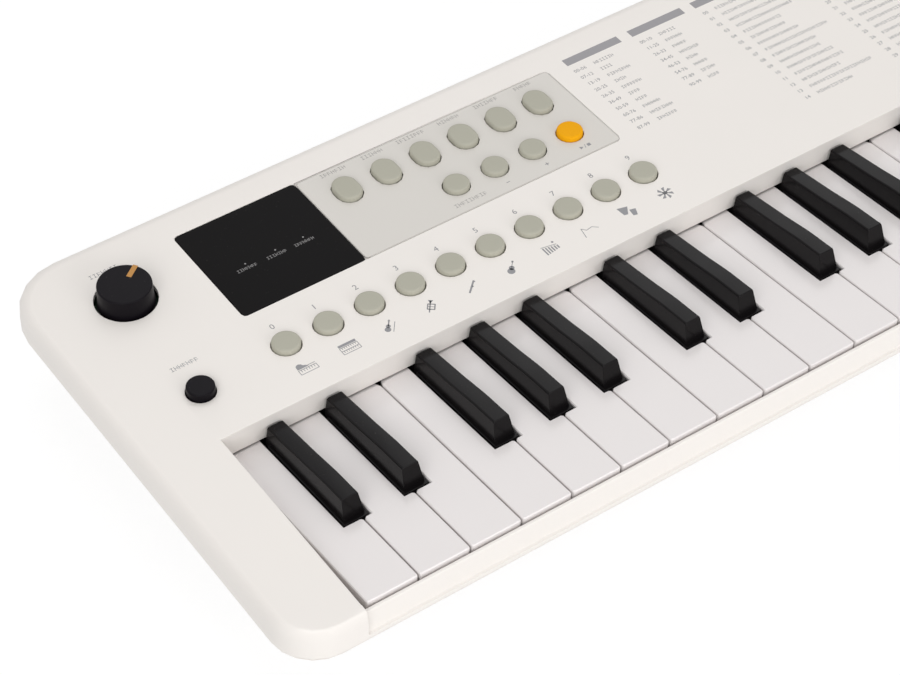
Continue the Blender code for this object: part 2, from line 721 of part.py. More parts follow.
# Contact board and rubber contact strip with one dome under each key
contact_board = box(0.5, 439.5, 42.0, 66.0, DECK_TOP + SEAT_GAP, DECK_TOP + SEAT_GAP + 1.4)
place(contact_board, "contact_board", BOARD_GREEN, 0.4, origin=(MIDDLE_X, STRIP_Y, DECK_TOP))
strip_foot = DECK_TOP + SEAT_GAP + 1.4 + SEAT_GAP
strip = box(2.0, 438.0, STRIP_Y - 5.5, STRIP_Y + 5.5, strip_foot, strip_foot + 0.8)
domes = [((2.9, strip_foot + 0.4), (1.7, -15.25)) for _ in key_centres]
strip = join(strip, *[turned(x, STRIP_Y, profile, 4) for x, profile in zip(key_centres, domes)])
place(strip, "contact_strip", RUBBER_GREY, 0.8, origin=(MIDDLE_X, STRIP_Y, strip_foot))


# Silicone keypads: one web each under the panel, with a cap through every hole


def cap(x, y, radius, count=18):
    edge = radius - 0.75
    profile = ((radius, WEB_TOP - 0.7), (radius, CAP_HEIGHT - CAP_DOME), (edge, CAP_HEIGHT))
    return turned(x, y, profile, count)


def oval_cap(x, y, half_width, half_length):
    steps = ((0.0, WEB_TOP - 0.7), (0.0, CAP_HEIGHT - CAP_DOME), (0.75, CAP_HEIGHT))
    rings = []
    for shrink, z in steps:
        ring = stadium(x, y, half_width - shrink, half_length - shrink, 7)
        rings.append([(px, py, z) for px, py in ring])
    return loft(rings)


numbers = box(NUMBER_X[0] - 7.6, NUMBER_X[-1] + 7.6, NUMBER_Y - 7.2, NUMBER_Y + 7.4, WEB_BOTTOM, WEB_TOP)
numbers = join(numbers, *[cap(x, NUMBER_Y, NUMBER_HOLE - CAP_GAP) for x in NUMBER_X])
place(numbers, "number_keypad", RUBBER_GREY, 0.6, origin=(0.5 * (NUMBER_X[0] + NUMBER_X[-1]), NUMBER_Y, WEB_BOTTOM))

tempo = box(ROUND_X[0] - 7.0, ROUND_X[-1] + 7.0, ROUND_Y - 7.0, ROUND_Y + 7.0, WEB_BOTTOM, WEB_TOP)
tempo = join(tempo, *[cap(x, ROUND_Y, ROUND_HOLE - CAP_GAP) for x in ROUND_X])
place(tempo, "tempo_keypad", RUBBER_GREY, 0.6, origin=(ROUND_X[1], ROUND_Y, WEB_BOTTOM))

ovals = box(OVAL_X[0] - 7.2, OVAL_X[-1] + 7.2, OVAL_Y - 8.5, OVAL_Y + 8.7, WEB_BOTTOM, WEB_TOP)
ovals = join(
    ovals, *[oval_cap(x, OVAL_Y, OVAL_HOLE_HALF_WIDTH - CAP_GAP, OVAL_HOLE_HALF_LENGTH - CAP_GAP) for x in OVAL_X]
)
place(ovals, "function_keypad", RUBBER_GREY, 0.6, origin=(0.5 * (OVAL_X[0] + OVAL_X[-1]), OVAL_Y, WEB_BOTTOM))

play_radius = ROUND_HOLE - CAP_GAP
play_profile = (
    (play_radius + 1.7, WEB_BOTTOM),
    (play_radius + 1.7, WEB_TOP),
    (play_radius, WEB_TOP),
    (play_radius, CAP_HEIGHT - CAP_DOME),
    (play_radius - 0.75, CAP_HEIGHT),
)
play = turned(PLAY_X, ROUND_Y, play_profile, 20)
place(play, "play_stop_button", YELLOW, 0.55, origin=(PLAY_X, ROUND_Y, WEB_BOTTOM))

# Power button with its switch
power_profile = (
    (2.2, WEB_BOTTOM - 1.0),
    (2.2, WEB_BOTTOM + 0.4),
    (6.6, WEB_BOTTOM + 0.4),
    (6.6, WEB_TOP),
    (POWER_CAP, WEB_TOP),
    (POWER_CAP, 1.7),
    (POWER_CAP - 0.3, 2.2),
    (POWER_CAP - 0.9, 2.4),
)
power = turned(POWER_X, POWER_Y, power_profile, 20)
place(power, "power_button", KNOB_BLACK, 0.3, origin=(POWER_X, POWER_Y, WEB_BOTTOM))

board_bottom = BOARD_TOP - BOARD_THICKNESS
switch_top = board_bottom - SEAT_GAP
switch = box(POWER_X - 4.2, POWER_X + 4.2, TAIL_END + 0.6, TAIL_END + 9.0, switch_top - 6.0, switch_top)
switch = join(
    switch,
    box(POWER_X - 1.5, POWER_X + 1.5, POWER_Y - 1.2, POWER_Y + 1.5, switch_top - 0.5, WEB_BOTTOM - 2.5 - SEAT_GAP),
)
place(switch, "power_switch", FRAME_GREY, 0.5, origin=(POWER_X, POWER_Y, switch_top))

# Volume knob with its potentiometer
knob_profile = (
    (4.4, KNOB_FOOT_Z - 2.0),
    (4.4, KNOB_FOOT_Z),
    (KNOB_SKIRT_RADIUS, KNOB_FOOT_Z),
    (KNOB_SKIRT_RADIUS - 0.15, 0.0),
    (KNOB_TOP_RADIUS + 0.1, 3.0),
    (KNOB_TOP_RADIUS, KNOB_TOP_Z - 0.35),
    (KNOB_TOP_RADIUS - 0.35, KNOB_TOP_Z),
)
knob = turned(KNOB_X, KNOB_Y, knob_profile, 36)
turn = math.radians(POINTER_ANGLE)
ahead = Vector((math.sin(turn), math.cos(turn)))
across = Vector((ahead.y, -ahead.x)) * 0.95
hub = Vector((KNOB_X, KNOB_Y))
groove = [hub + ahead * 4.0 - across, hub + ahead * 4.0 + across, hub + ahead * 12.0 + across, hub + ahead * 12.0 - across]
knob = cut(
    knob,
    prism([tuple(point) for point in reversed(groove)], KNOB_TOP_Z - 0.25, KNOB_TOP_Z + 2.0),
    rod(KNOB_X, KNOB_Y, SHAFT_RADIUS + SEAT_GAP, KNOB_FOOT_Z - 5.0, 3.5, 12),
)
place(knob, "volume_knob", KNOB_BLACK, 0.35, origin=(KNOB_X, KNOB_Y, KNOB_FOOT_Z))

pot_top = board_bottom - SEAT_GAP
pot = box(KNOB_X - 8.0, KNOB_X + 8.0, KNOB_Y - 8.0, KNOB_Y + 8.0, pot_top - 6.0, pot_top)
pot_profile = (
    (3.9, pot_top - 0.5),
    (3.9, WEB_BOTTOM - 0.4),
    (SHAFT_RADIUS, WEB_BOTTOM - 0.4),
    (SHAFT_RADIUS, 3.2),
)
pot = join(pot, turned(KNOB_X, KNOB_Y, pot_profile, 12))
place(pot, "volume_pot", METAL, 0.35, 1.0, origin=(KNOB_X, KNOB_Y, pot_top))

# Panel board with the LED block that shows through the display window
board = box(*BOARD, board_bottom, BOARD_TOP)
board = join(
    board,
    box(LED_WINDOW[0] + 1, LED_WINDOW[1] - 1, LED_WINDOW[2] + 1, LED_WINDOW[3] - 1, BOARD_TOP - 0.5, -DISPLAY_DEPTH - 0.5),
)
board = cut(
    board,
    rod(KNOB_X, KNOB_Y, 4.2, -12, 0, 16),
    rod(POWER_X, POWER_Y, 3.0, -12, 0, 12),
    rod(COLUMNS[0][0], COLUMNS[0][1], 3.8, -12, 0, 12),
)
place(board, "panel_board", BOARD_GREEN, 0.4, origin=(100.0, 140.0, BOARD_TOP))

# Display window and grey sheet, laid into the panel's recess
window_outline = round_rect(DISPLAY[0] + 0.2, DISPLAY[1], DISPLAY[2] + 0.2, DISPLAY[3] - 0.2, 1.4, 1.4, 2)
window = prism(window_outline, -DISPLAY_DEPTH + 0.1, -0.1)
place(window, "display_window", WINDOW_BLACK, 0.08, origin=(58.9, 151.3, -DISPLAY_DEPTH))

sheet_outline = round_rect(SHEET[0], SHEET[1] - 0.2, SHEET[2] + 0.2, SHEET[3] - 0.2, 2.0, 2.0, 2)
sheet = prism(sheet_outline, -SHEET_DEPTH + 0.1, -0.05)
sheet = cut(
    sheet,
    *[rod(x, ROUND_Y, ROUND_HOLE, -2, 1, 18) for x in (*ROUND_X, PLAY_X)],
    *[prism(stadium(x, OVAL_Y, OVAL_HOLE_HALF_WIDTH, OVAL_HOLE_HALF_LENGTH, 7), -2, 1) for x in OVAL_X],
)
place(sheet, "panel_overlay", SHEET_GREY, 0.5, origin=(140.0, 151.0, -SHEET_DEPTH))
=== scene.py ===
# %% [markdown]
# # A portable keyboard with 37 mini keys
#
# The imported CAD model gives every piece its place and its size. This notebook gives the pieces
# their surfaces: satin moulded plastic, glossy white keys, black keys with rounded shoulders,
# rubber buttons, a dark display window and the fine grey print on the panel.
#
# A flat material on sharp CAD solids would look like a drawing. The light on a real moulding
# runs along its rounded edges, so each visible solid is copied, its edges are rounded, and it
# gets a material with its own grain.

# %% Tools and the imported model
import json
import math

import bmesh
import bpy
from mathutils import Matrix, Vector


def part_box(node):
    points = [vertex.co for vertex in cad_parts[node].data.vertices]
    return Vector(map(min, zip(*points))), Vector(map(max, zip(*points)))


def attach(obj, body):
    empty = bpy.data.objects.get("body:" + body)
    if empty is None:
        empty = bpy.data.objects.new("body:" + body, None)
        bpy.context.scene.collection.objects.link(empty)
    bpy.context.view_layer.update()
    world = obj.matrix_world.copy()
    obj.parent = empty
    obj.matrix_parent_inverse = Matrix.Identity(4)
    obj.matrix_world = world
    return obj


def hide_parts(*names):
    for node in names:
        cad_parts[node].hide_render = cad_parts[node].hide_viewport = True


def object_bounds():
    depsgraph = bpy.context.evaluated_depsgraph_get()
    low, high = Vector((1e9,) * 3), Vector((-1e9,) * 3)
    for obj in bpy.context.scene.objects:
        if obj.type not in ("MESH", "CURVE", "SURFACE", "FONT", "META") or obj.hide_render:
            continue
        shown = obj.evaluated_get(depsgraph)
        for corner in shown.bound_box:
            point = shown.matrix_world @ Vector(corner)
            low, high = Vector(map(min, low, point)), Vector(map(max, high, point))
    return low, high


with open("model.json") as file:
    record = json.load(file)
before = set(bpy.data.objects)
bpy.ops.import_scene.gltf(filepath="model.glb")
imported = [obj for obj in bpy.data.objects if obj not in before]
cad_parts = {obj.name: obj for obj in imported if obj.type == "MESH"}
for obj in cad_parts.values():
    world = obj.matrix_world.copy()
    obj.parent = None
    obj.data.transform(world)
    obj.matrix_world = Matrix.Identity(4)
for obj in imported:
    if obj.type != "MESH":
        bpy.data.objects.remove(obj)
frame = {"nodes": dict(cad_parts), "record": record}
cad_low, cad_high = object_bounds()
print("CAD size in mm:", [round(1000 * side, 1) for side in cad_high - cad_low])

# %% [markdown]
# ## The maker's layout
#
# Everything on the panel is drawn in millimetres from three lines of the keyboard: the left
# side of the lowest C, the fronts of the white keys and the flat top of the panel. The places
# come from the solids themselves, so the print stays on the case when the case changes.

# %% Layout lines
MM = 0.001
HALF_KEY_GAP = 0.275
panel_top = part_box("upper_case")[1].z
first_key_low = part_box("white_key_c1")[0]
layout_origin = Vector((first_key_low.x - HALF_KEY_GAP * MM, first_key_low.y, panel_top))


def spot(x, y, z=0.0):
    """A point of the layout, in metres."""
    return layout_origin + Vector((x, y, z)) * MM


def layout_box(node):
    """A node's lowest and highest corners in the layout's millimetres."""
    low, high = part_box(node)
    return (low - layout_origin) / MM, (high - layout_origin) / MM


print("layout origin:", [round(1000 * value, 2) for value in layout_origin])

# %% [markdown]
# ## The camera
#
# The photograph was taken with a long lens from above the left front corner, close enough to
# leave the right end of the keyboard out of the picture. The lens, the place and the turn below
# were worked out from the ends of the key gaps and the corners of the display.

# %% Camera
LENS, SENSOR = 105.19, 36.0
LENS_SHIFT = (0.00155, -0.00065)
NEAR, FAR = 0.05, 30.0
CAMERA_PLACE = (-0.4926, -0.5295, 0.6833)
CAMERA_TURN = (44.4996, -0.1248, -34.6992)


def new_object(name, data):
    """An object for a mesh, a lamp or a camera, put into the scene."""
    made = bpy.data.objects.new(name, data)
    bpy.context.scene.collection.objects.link(made)
    return made


camera_data = bpy.data.cameras.new("photo_camera")
camera_data.lens, camera_data.sensor_width = LENS, SENSOR
camera_data.shift_x, camera_data.shift_y = LENS_SHIFT
camera_data.clip_start, camera_data.clip_end = NEAR, FAR
camera = new_object("photo_camera", camera_data)
camera.location = CAMERA_PLACE
camera.rotation_euler = [math.radians(turn) for turn in CAMERA_TURN]
bpy.context.scene.camera = camera
bpy.context.scene.view_settings.view_transform = "Standard"
print("camera stands", round(1000 * Vector(CAMERA_PLACE).length), "mm from the keyboard's middle")

# %% [markdown]
# ## Small helpers for node trees
#
# Materials and Geometry Nodes are both trees of nodes. Three helpers keep the script readable:
# one gives a node its inputs, one adds a node with its settings, and one does a step of
# arithmetic.

# %% Node helpers


def feed(node, inputs):
    """Gives each input a plain value or another node's output."""
    for label, given in inputs.items():
        if isinstance(given, (int, float, tuple)):
            node.inputs[label].default_value = given
        else:
            node.id_data.links.new(given, node.inputs[label])
    return node


def add(tree, kind, inputs=None, **settings):
    """A new node with its settings and its inputs."""
    node = tree.nodes.new(kind)
    for name, value in settings.items():
        setattr(node, name, value)
    return feed(node, inputs or {})


def maths(tree, operation, first, second, clamp=False):
    """The result of a Math node whose inputs are sockets or numbers."""
    numbers = {0: first, 1: second}
    return add(tree, "ShaderNodeMath", numbers, operation=operation, use_clamp=clamp).outputs[0]


def linear(red, green, blue):
    """A colour as it is written for a screen, from 0 to 255, turned into light."""
    shares = [value / 255.0 for value in (red, green, blue)]
    light = [s / 12.92 if s <= 0.04045 else ((s + 0.055) / 1.055) ** 2.4 for s in shares]
    return (*light, 1.0)


print("black and white as light:", linear(0, 0, 0), linear(255, 255, 255))

# %% [markdown]
# ## The studio
#
# Product pictures like this one are taken on a white table between large soft lights. The floor
# is white for the camera and keeps a faint shadow, and the lamps stay weak enough for the ivory
# case to show its own colour. The world adds an even fill, and it looks white where the camera
# or a mirror sees it.

# %% Floor and world
FLOOR_DROP = 0.0001
FLOOR_SIZE = 12.0
PAPER_GREY, SEEN_GREY, SEEN_GLOW = 0.8, 0.2, 0.84
WORLD_FILL, WORLD_SEEN = 0.5, 1.0


def grey(level):
    return (level, level, level, 1.0)


def sees_backdrop(tree):
    """1 for rays from the camera, from gloss and through glass, and 0 for the light itself."""
    rays = add(tree, "ShaderNodeLightPath").outputs
    mirrored = maths(tree, "MAXIMUM", rays["Is Camera Ray"], rays["Is Glossy Ray"])
    return maths(tree, "MAXIMUM", mirrored, rays["Is Transmission Ray"])


def choice(tree, lit, seen):
    """One surface or sky for the light, and another for what the camera and mirrors see."""
    both = {0: sees_backdrop(tree), 1: lit.outputs[0], 2: seen.outputs[0]}
    return add(tree, "ShaderNodeMixShader", both).outputs[0]


def floor_material():
    made = bpy.data.materials.new("white_table")
    made.use_nodes = True
    tree = made.node_tree
    tree.nodes.clear()
    paper = add(tree, "ShaderNodeBsdfDiffuse", {"Color": grey(PAPER_GREY)})
    seen = add(tree, "ShaderNodeBsdfDiffuse", {"Color": grey(SEEN_GREY)})
    glow = add(tree, "ShaderNodeEmission", {"Strength": SEEN_GLOW})
    both = add(tree, "ShaderNodeAddShader", {0: seen.outputs[0], 1: glow.outputs[0]})
    add(tree, "ShaderNodeOutputMaterial", {"Surface": choice(tree, paper, both)})
    return made


half = FLOOR_SIZE / 2
floor_z = cad_low.z - FLOOR_DROP
floor_mesh = bpy.data.meshes.new("table")
floor_corners = ((-half, -half), (half, -half), (half, half), (-half, half))
floor_mesh.from_pydata([(x, y, floor_z) for x, y in floor_corners], [], [(0, 1, 2, 3)])
floor_mesh.materials.append(floor_material())
new_object("table", floor_mesh)

world = bpy.data.worlds.new("studio")
world.use_nodes = True
sky = world.node_tree
sky.nodes.clear()
fill = add(sky, "ShaderNodeBackground", {"Color": grey(1.0), "Strength": WORLD_FILL})
white = add(sky, "ShaderNodeBackground", {"Color": grey(1.0), "Strength": WORLD_SEEN})
add(sky, "ShaderNodeOutputWorld", {"Surface": choice(sky, fill, white)})
bpy.context.scene.world = world
print("table at", round(1000 * floor_z, 2), "mm")

# %% Lamps
# Name, place, side of the square and power. Each looks at the middle of the keyboard.
LAMPS = (
    ("front_left_softbox", (-1.5, -1.2, 1.2), 1.3, 16.0),
    ("low_front_softbox", (0.3, -2.1, 0.6), 1.2, 14.0),
    ("back_right_softbox", (1.2, 1.5, 1.6), 1.3, 4.0),
    ("top_softbox", (0.1, 0.4, 1.9), 1.4, 7.5),
)
for name, lamp_place, side, power in LAMPS:
    lamp_data = bpy.data.lights.new(name, "AREA")
    lamp_data.shape = "SQUARE"
    lamp_data.size = side
    lamp_data.energy = power
    lamp = new_object(name, lamp_data)
    lamp.location = lamp_place
    lamp.rotation_euler = (-Vector(lamp_place)).to_track_quat("-Z", "Y").to_euler()
print("lamps:", [name for name, *_ in LAMPS])

# %% [markdown]
# ## Shared surface effects
#
# Four effects return in nearly every material here, so each is a shader node group built once:
# `cloudy_tint` lets the colour drift a little, as a moulding does, `handled_gloss` makes the
# shine uneven where fingers have been, `moulded_grain` gives the fine leather-like texture of a
# sparked mould, and `settled_dust` puts a few pale specks on what faces up. The groups put out
# only colours, values and normals, and the shader itself stays in each material.

# %% Group helper


def shader_group(name, inputs, outputs):
    """A new group, with the sockets that bring its inputs in."""
    tree = bpy.data.node_groups.new(name, "ShaderNodeTree")
    for label, kind, value in inputs:
        socket = tree.interface.new_socket(label, in_out="INPUT", socket_type=kind)
        socket.default_value = value
    for label, kind in outputs:
        tree.interface.new_socket(label, in_out="OUTPUT", socket_type=kind)
    return tree, add(tree, "NodeGroupInput").outputs


def noise(tree, scale, detail, offset=0.0):
    """A noise on the object's own coordinates. The offset keeps two patterns apart."""
    place = add(tree, "ShaderNodeTexCoord").outputs["Object"]
    moved = {0: place, 1: (offset, offset, offset)}
    shifted = add(tree, "ShaderNodeVectorMath", moved, operation="ADD").outputs[0]
    given = {"Vector": shifted, "Scale": scale, "Detail": detail}
    return add(tree, "ShaderNodeTexNoise", given).outputs["Fac"]


def centred(tree, value, amount):
    """(value - 0.5) times the amount's socket."""
    return maths(tree, "MULTIPLY", maths(tree, "SUBTRACT", value, 0.5), amount)


# %% Colour drift and uneven shine
FLOAT = "NodeSocketFloat"
COLOUR = "NodeSocketColor"
VECTOR = "NodeSocketVector"
MIX_SHARE, MIX_FIRST, MIX_SECOND, MIX_RESULT = 0, 6, 7, 2

cloudy_tint, tint_in = shader_group(
    "cloudy_tint",
    [("Colour", COLOUR, grey(0.8)), ("Amount", FLOAT, 0.05), ("Scale", FLOAT, 30.0)],
    [("Colour", COLOUR)],
)
clouds = noise(cloudy_tint, tint_in["Scale"], detail=3.0)
drift = maths(cloudy_tint, "ADD", centred(cloudy_tint, clouds, tint_in["Amount"]), 1.0)
tinting = {MIX_SHARE: 1.0, MIX_FIRST: tint_in["Colour"], MIX_SECOND: drift}
tinted = add(cloudy_tint, "ShaderNodeMix", tinting, data_type="RGBA", blend_type="MULTIPLY")
add(cloudy_tint, "NodeGroupOutput", {"Colour": tinted.outputs[MIX_RESULT]})

handled_gloss, gloss_in = shader_group(
    "handled_gloss",
    [("Roughness", FLOAT, 0.4), ("Spread", FLOAT, 0.1), ("Scale", FLOAT, 70.0)],
    [("Roughness", FLOAT)],
)
smears = noise(handled_gloss, gloss_in["Scale"], detail=4.0, offset=3.7)
smear = centred(handled_gloss, smears, gloss_in["Spread"])
smeared = maths(handled_gloss, "ADD", gloss_in["Roughness"], smear, clamp=True)
add(handled_gloss, "NodeGroupOutput", {"Roughness": smeared})
print("group inputs:", [socket.name for socket in tint_in if socket.name])

# %% Mould grain and dust
SPECK_FROM, SPECK_TO = 0.72, 0.8
DUST_COLOUR = (0.5, 0.48, 0.45, 1.0)

moulded_grain, grain_in = shader_group(
    "moulded_grain", [("Scale", FLOAT, 2500.0), ("Depth", FLOAT, 4e-6)], [("Normal", VECTOR)]
)
grains = noise(moulded_grain, grain_in["Scale"], detail=2.0, offset=1.3)
bump = add(moulded_grain, "ShaderNodeBump", {"Height": grains, "Distance": grain_in["Depth"]})
add(moulded_grain, "NodeGroupOutput", {"Normal": bump.outputs["Normal"]})

settled_dust, dust_in = shader_group(
    "settled_dust",
    [("Colour", COLOUR, grey(0.1)), ("Amount", FLOAT, 0.1), ("Scale", FLOAT, 1400.0)],
    [("Colour", COLOUR)],
)
specks = noise(settled_dust, dust_in["Scale"], detail=1.0, offset=8.1)
speck_range = {"Value": specks, "From Min": SPECK_FROM, "From Max": SPECK_TO}
speck = add(settled_dust, "ShaderNodeMapRange", speck_range).outputs[0]
facing = add(settled_dust, "ShaderNodeTexCoord").outputs["Normal"]
upward = add(settled_dust, "ShaderNodeSeparateXYZ", {0: facing}).outputs["Z"]
lying = maths(settled_dust, "MULTIPLY", speck, upward, clamp=True)
dose = maths(settled_dust, "MULTIPLY", lying, dust_in["Amount"], clamp=True)
dusting = {MIX_SHARE: dose, MIX_FIRST: dust_in["Colour"], MIX_SECOND: DUST_COLOUR}
dusty = add(settled_dust, "ShaderNodeMix", dusting, data_type="RGBA")
add(settled_dust, "NodeGroupOutput", {"Colour": dusty.outputs[MIX_RESULT]})
print("shader groups:", sorted(group.name for group in bpy.data.node_groups))

# %% [markdown]
# ## Materials
#
# One function puts the groups in front of a Principled shader. What differs from plastic to
# plastic is in its numbers: the case is satin with a visible grain, the white keys are
# polished, the black keys are a little softer, and the buttons are matt silicone. Numbers that
# are the same all over a surface, such as the strength of the reflection, sit on the shader
# itself.

# %% Plastic recipe


def plastic(
    name, rgb, roughness, grain, cloud=0.03, spread=0.08, dust=0.0, specular=0.5, metallic=0.0
):
    """A moulded surface. The grain is a scale with a depth in metres."""
    made = bpy.data.materials.new(name)
    made.use_nodes = True
    tree = made.node_tree

    def effect(group, result, **inputs):
        return add(tree, "ShaderNodeGroup", inputs, node_tree=group).outputs[result]

    tint = effect(cloudy_tint, "Colour", Colour=linear(*rgb), Amount=cloud)
    looks = {
        "Base Color": effect(settled_dust, "Colour", Colour=tint, Amount=dust),
        "Roughness": effect(handled_gloss, "Roughness", Roughness=roughness, Spread=spread),
        "Normal": effect(moulded_grain, "Normal", Scale=grain[0], Depth=grain[1]),
        "Specular IOR Level": specular,
        "Metallic": metallic,
    }
    feed(tree.nodes["Principled BSDF"], looks)
    return made


def ink(name, rgb, cloud=0.12):
    return plastic(name, rgb, 0.5, (5000.0, 2e-6), cloud, 0.05)


# %% The keyboard's finishes
SILICONE = (0.04, 0.08, 0.0)
METAL = (0.06, 0.15, 0.0, 0.5, 1.0)
# Name, colour on a screen, roughness and grain, then as far as they are needed: colour drift,
# uneven shine, dust, strength of the reflection and metal.
RECIPES = {
    "case_plastic": ("ivory_case", (238, 233, 228), 0.46, (2200.0, 6e-6), 0.02, 0.08),
    "white_keys": ("white_key_gloss", (234, 229, 228), 0.2, (900.0, 1e-6), 0.015, 0.12),
    "black_keys": ("black_key_satin", (19, 17, 18), 0.2, (2600.0, 2e-6), 0.2, 0.14, 0.06, 0.12),
    "grey_silicone": ("grey_silicone", (177, 175, 161), 0.62, (3200.0, 4e-6), *SILICONE, 0.3),
    "yellow_silicone": ("yellow_silicone", (242, 170, 6), 0.6, (3200.0, 3e-6), *SILICONE, 0.12),
    "black_plastic": ("knob_black", (15, 12, 17), 0.4, (2800.0, 4e-6), 0.15, 0.1, 0.05, 0.09),
    "tinted_window": ("display_acrylic", (12, 10, 11), 0.16, (700.0, 4e-7), 0.1, 0.1, 0.03, 0.05),
    "grey_sheet": ("grey_film", (214, 210, 204), 0.42, (4200.0, 3e-6), 0.015, 0.06),
    "circuit_board": ("solder_mask", (14, 44, 28), 0.35, (400.0, 1e-5), 0.3, 0.1),
    "grey_plastic": ("grey_plastic", (46, 46, 48), 0.5, (2200.0, 4e-6), 0.05, 0.1),
    "plated_steel": ("plated_steel", (190, 188, 184), 0.3, (1800.0, 3e-6), *METAL),
    "speaker_metal": ("speaker_paper", (46, 46, 48), 0.75, (1500.0, 2e-5), 0.2, 0.1),
    "black_rubber": ("foot_rubber", (40, 40, 41), 0.85, (2600.0, 1.2e-5), 0.15, 0.05, 0.3),
}
finishes = {slot: plastic(*recipe) for slot, recipe in RECIPES.items()}
panel_ink = ink("panel_ink", (142, 142, 145))
pale_ink = ink("sheet_ink", (158, 155, 152))
bar_ink = ink("bar_ink", (150, 148, 151), 0.06)
window_ink = ink("window_ink", (134, 132, 132), 0.1)
border_ink = ink("border_ink", (188, 184, 179))
pointer_paint = ink("pointer_paint", (184, 130, 58), 0.1)
slot_of_node = {}
for subpart in frame["record"]["subparts"]:
    for node in subpart.get("nodes", [subpart.get("node")]):
        slot_of_node[node] = subpart.get("material_slot")
print("finishes:", len(finishes), "and nodes with a slot:", len(slot_of_node))

# %% [markdown]
# ## Rounding a CAD solid
#
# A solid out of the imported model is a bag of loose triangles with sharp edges. To round it, a
# copy is merged into one skin, its flat triangles are dissolved into whole faces, and a Bevel
# modifier takes the edge off wherever two faces meet at an angle. The bevel could be modelled
# into the CAD instead, but there it would only make the collision shapes heavier.

# %% Dressing helper
MERGE_DISTANCE = 0.000002
FLAT_ANGLE = 0.4


def body_of(node):
    bodies = frame["record"]["behaviour"]["bodies"]
    return next(body for body, members in bodies.items() if node in members)


def keep(piece, body, slot, *nodes):
    """Rides the finished piece on its body, and hides the solids it stands for."""
    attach(piece, body)
    if nodes:
        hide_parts(*nodes)
    return piece


def painted(piece, material):
    piece.data.materials.clear()
    piece.data.materials.append(material)
    return piece


def stand_in(piece, node):
    """Gives a piece its node's finish and lets it stand for the node."""
    slot = slot_of_node[node]
    return keep(painted(piece, finishes[slot]), body_of(node), slot, node)


def applied(piece):
    """Turns the piece's modifiers into plain mesh."""
    graph = bpy.context.evaluated_depsgraph_get()
    mesh = bpy.data.meshes.new_from_object(piece.evaluated_get(graph))
    piece.modifiers.clear()
    piece.data = mesh
    return piece


def dressed(node, radius, steps=2, angle=30.0, reshape=None):
    """The node's solid with rounded edges, in its slot's finish."""
    mesh = frame["nodes"][node].data.copy()
    mesh.name = f"{node}_skin"
    work = bmesh.new()
    work.from_mesh(mesh)
    bmesh.ops.remove_doubles(work, verts=work.verts, dist=MERGE_DISTANCE)
    bmesh.ops.dissolve_limit(
        work, angle_limit=math.radians(FLAT_ANGLE), verts=work.verts, edges=work.edges
    )
    bmesh.ops.connect_verts_concave(work, faces=work.faces)
    if reshape:
        reshape(work, node)
    work.to_mesh(mesh)
    work.free()
    piece = painted(new_object(f"{node}_skin", mesh), finishes[slot_of_node[node]])
    mesh.shade_smooth()
    bevel = piece.modifiers.new("edge", "BEVEL")
    bevel.width = radius * MM
    bevel.segments = steps
    bevel.limit_method = "ANGLE"
    bevel.angle_limit = math.radians(angle)
    bevel.use_clamp_overlap = False
    piece.modifiers.new("shading", "WEIGHTED_NORMAL").keep_sharp = False
    return stand_in(applied(piece), node)


# %% [markdown]
# ## Keys under the panel's edge
#
# Seen from the front, the white keys run on under the panel, and a black key stands on a foot
# that nearly fills its slot. Both keep the light from falling into the case. The backs of the
# white keys are therefore drawn a little further in than their solids. A black key is drawn
# afresh with many rings along its length, because the few faces of its CAD solid would show as
# creases in its gloss.

# %% White keys' longer backs
KEY_BACK = 82.57
BACK_REACH = 1.7
BACK_TOLERANCE = 0.04
WHITE_FRONT_TOP, WHITE_FALL = -1.525, 8.555


def white_surface(y):
    """Height of the white keys' playing surface."""
    return WHITE_FRONT_TOP - WHITE_FALL * y / KEY_BACK


def longer_back(work, node):
    """Moves the flat back end of a white key's body under the panel's edge."""
    level = spot(0.0, KEY_BACK).y
    for vertex in work.verts:
        if abs(vertex.co.y - level) < BACK_TOLERANCE * MM:
            vertex.co += Vector((0.0, BACK_REACH, -WHITE_FALL * BACK_REACH / KEY_BACK)) * MM


print("white keys fall", WHITE_FALL, "mm to the back")

# %% Black keys drawn afresh
BLACK_FRONT, BLACK_BACK, BLACK_LEAN_END = 34.2, 82.3, 49.4
BLACK_LEAN = 2.4
BLACK_HALF_BASE, BLACK_HALF_TOP = 4.05, 3.1
BLACK_RIDGE = ((36.7, 7.95), (49.4, 8.1), (61.6, 7.1), (74.0, 6.5), (82.3, 6.08))
BLACK_SHOULDER = ((0.08, 0.75), (-0.12, 0.25), (-0.55, 0.0))
BLACK_STEPS = 14
WIDEST_DROP, BODY_RISE = 0.3, 0.2
FOOT_FRONT, FOOT_BACK, FOOT_HALF_WIDTH = 32.85, 80.0, 4.75
FOOT_DROP, FOOT_BOTTOM = 0.35, 4.4
TAIL_FRONT, TAIL_BACK, TAIL_LOW, TAIL_HIGH = 80.5, 104.0, -13.7, -10.7
TAIL_HALF_WIDTH = 3.4
PIVOT, BOSS_RADIUS = (97.0, -12.2), 2.2
BOSS_TURNS = [math.radians(-133 + 15 * k) for k in range(7)]


def ring_faces(work, rings):
    """Faces through rings of layout points, with both ends closed."""
    rows = [[work.verts.new(spot(*point)) for point in ring] for ring in rings]
    faces = []
    for low, high in zip(rows, rows[1:]):
        for k in range(len(low)):
            after = (k + 1) % len(low)
            faces.append(work.faces.new((low[k], low[after], high[after], high[k])))
    faces.append(work.faces.new(list(reversed(rows[0]))))
    faces.append(work.faces.new(rows[-1]))
    return faces


def skin_rings(work, rings):
    """The same, with the faces turned outwards whichever way the rings run."""
    bmesh.ops.recalc_face_normals(work, faces=ring_faces(work, rings))


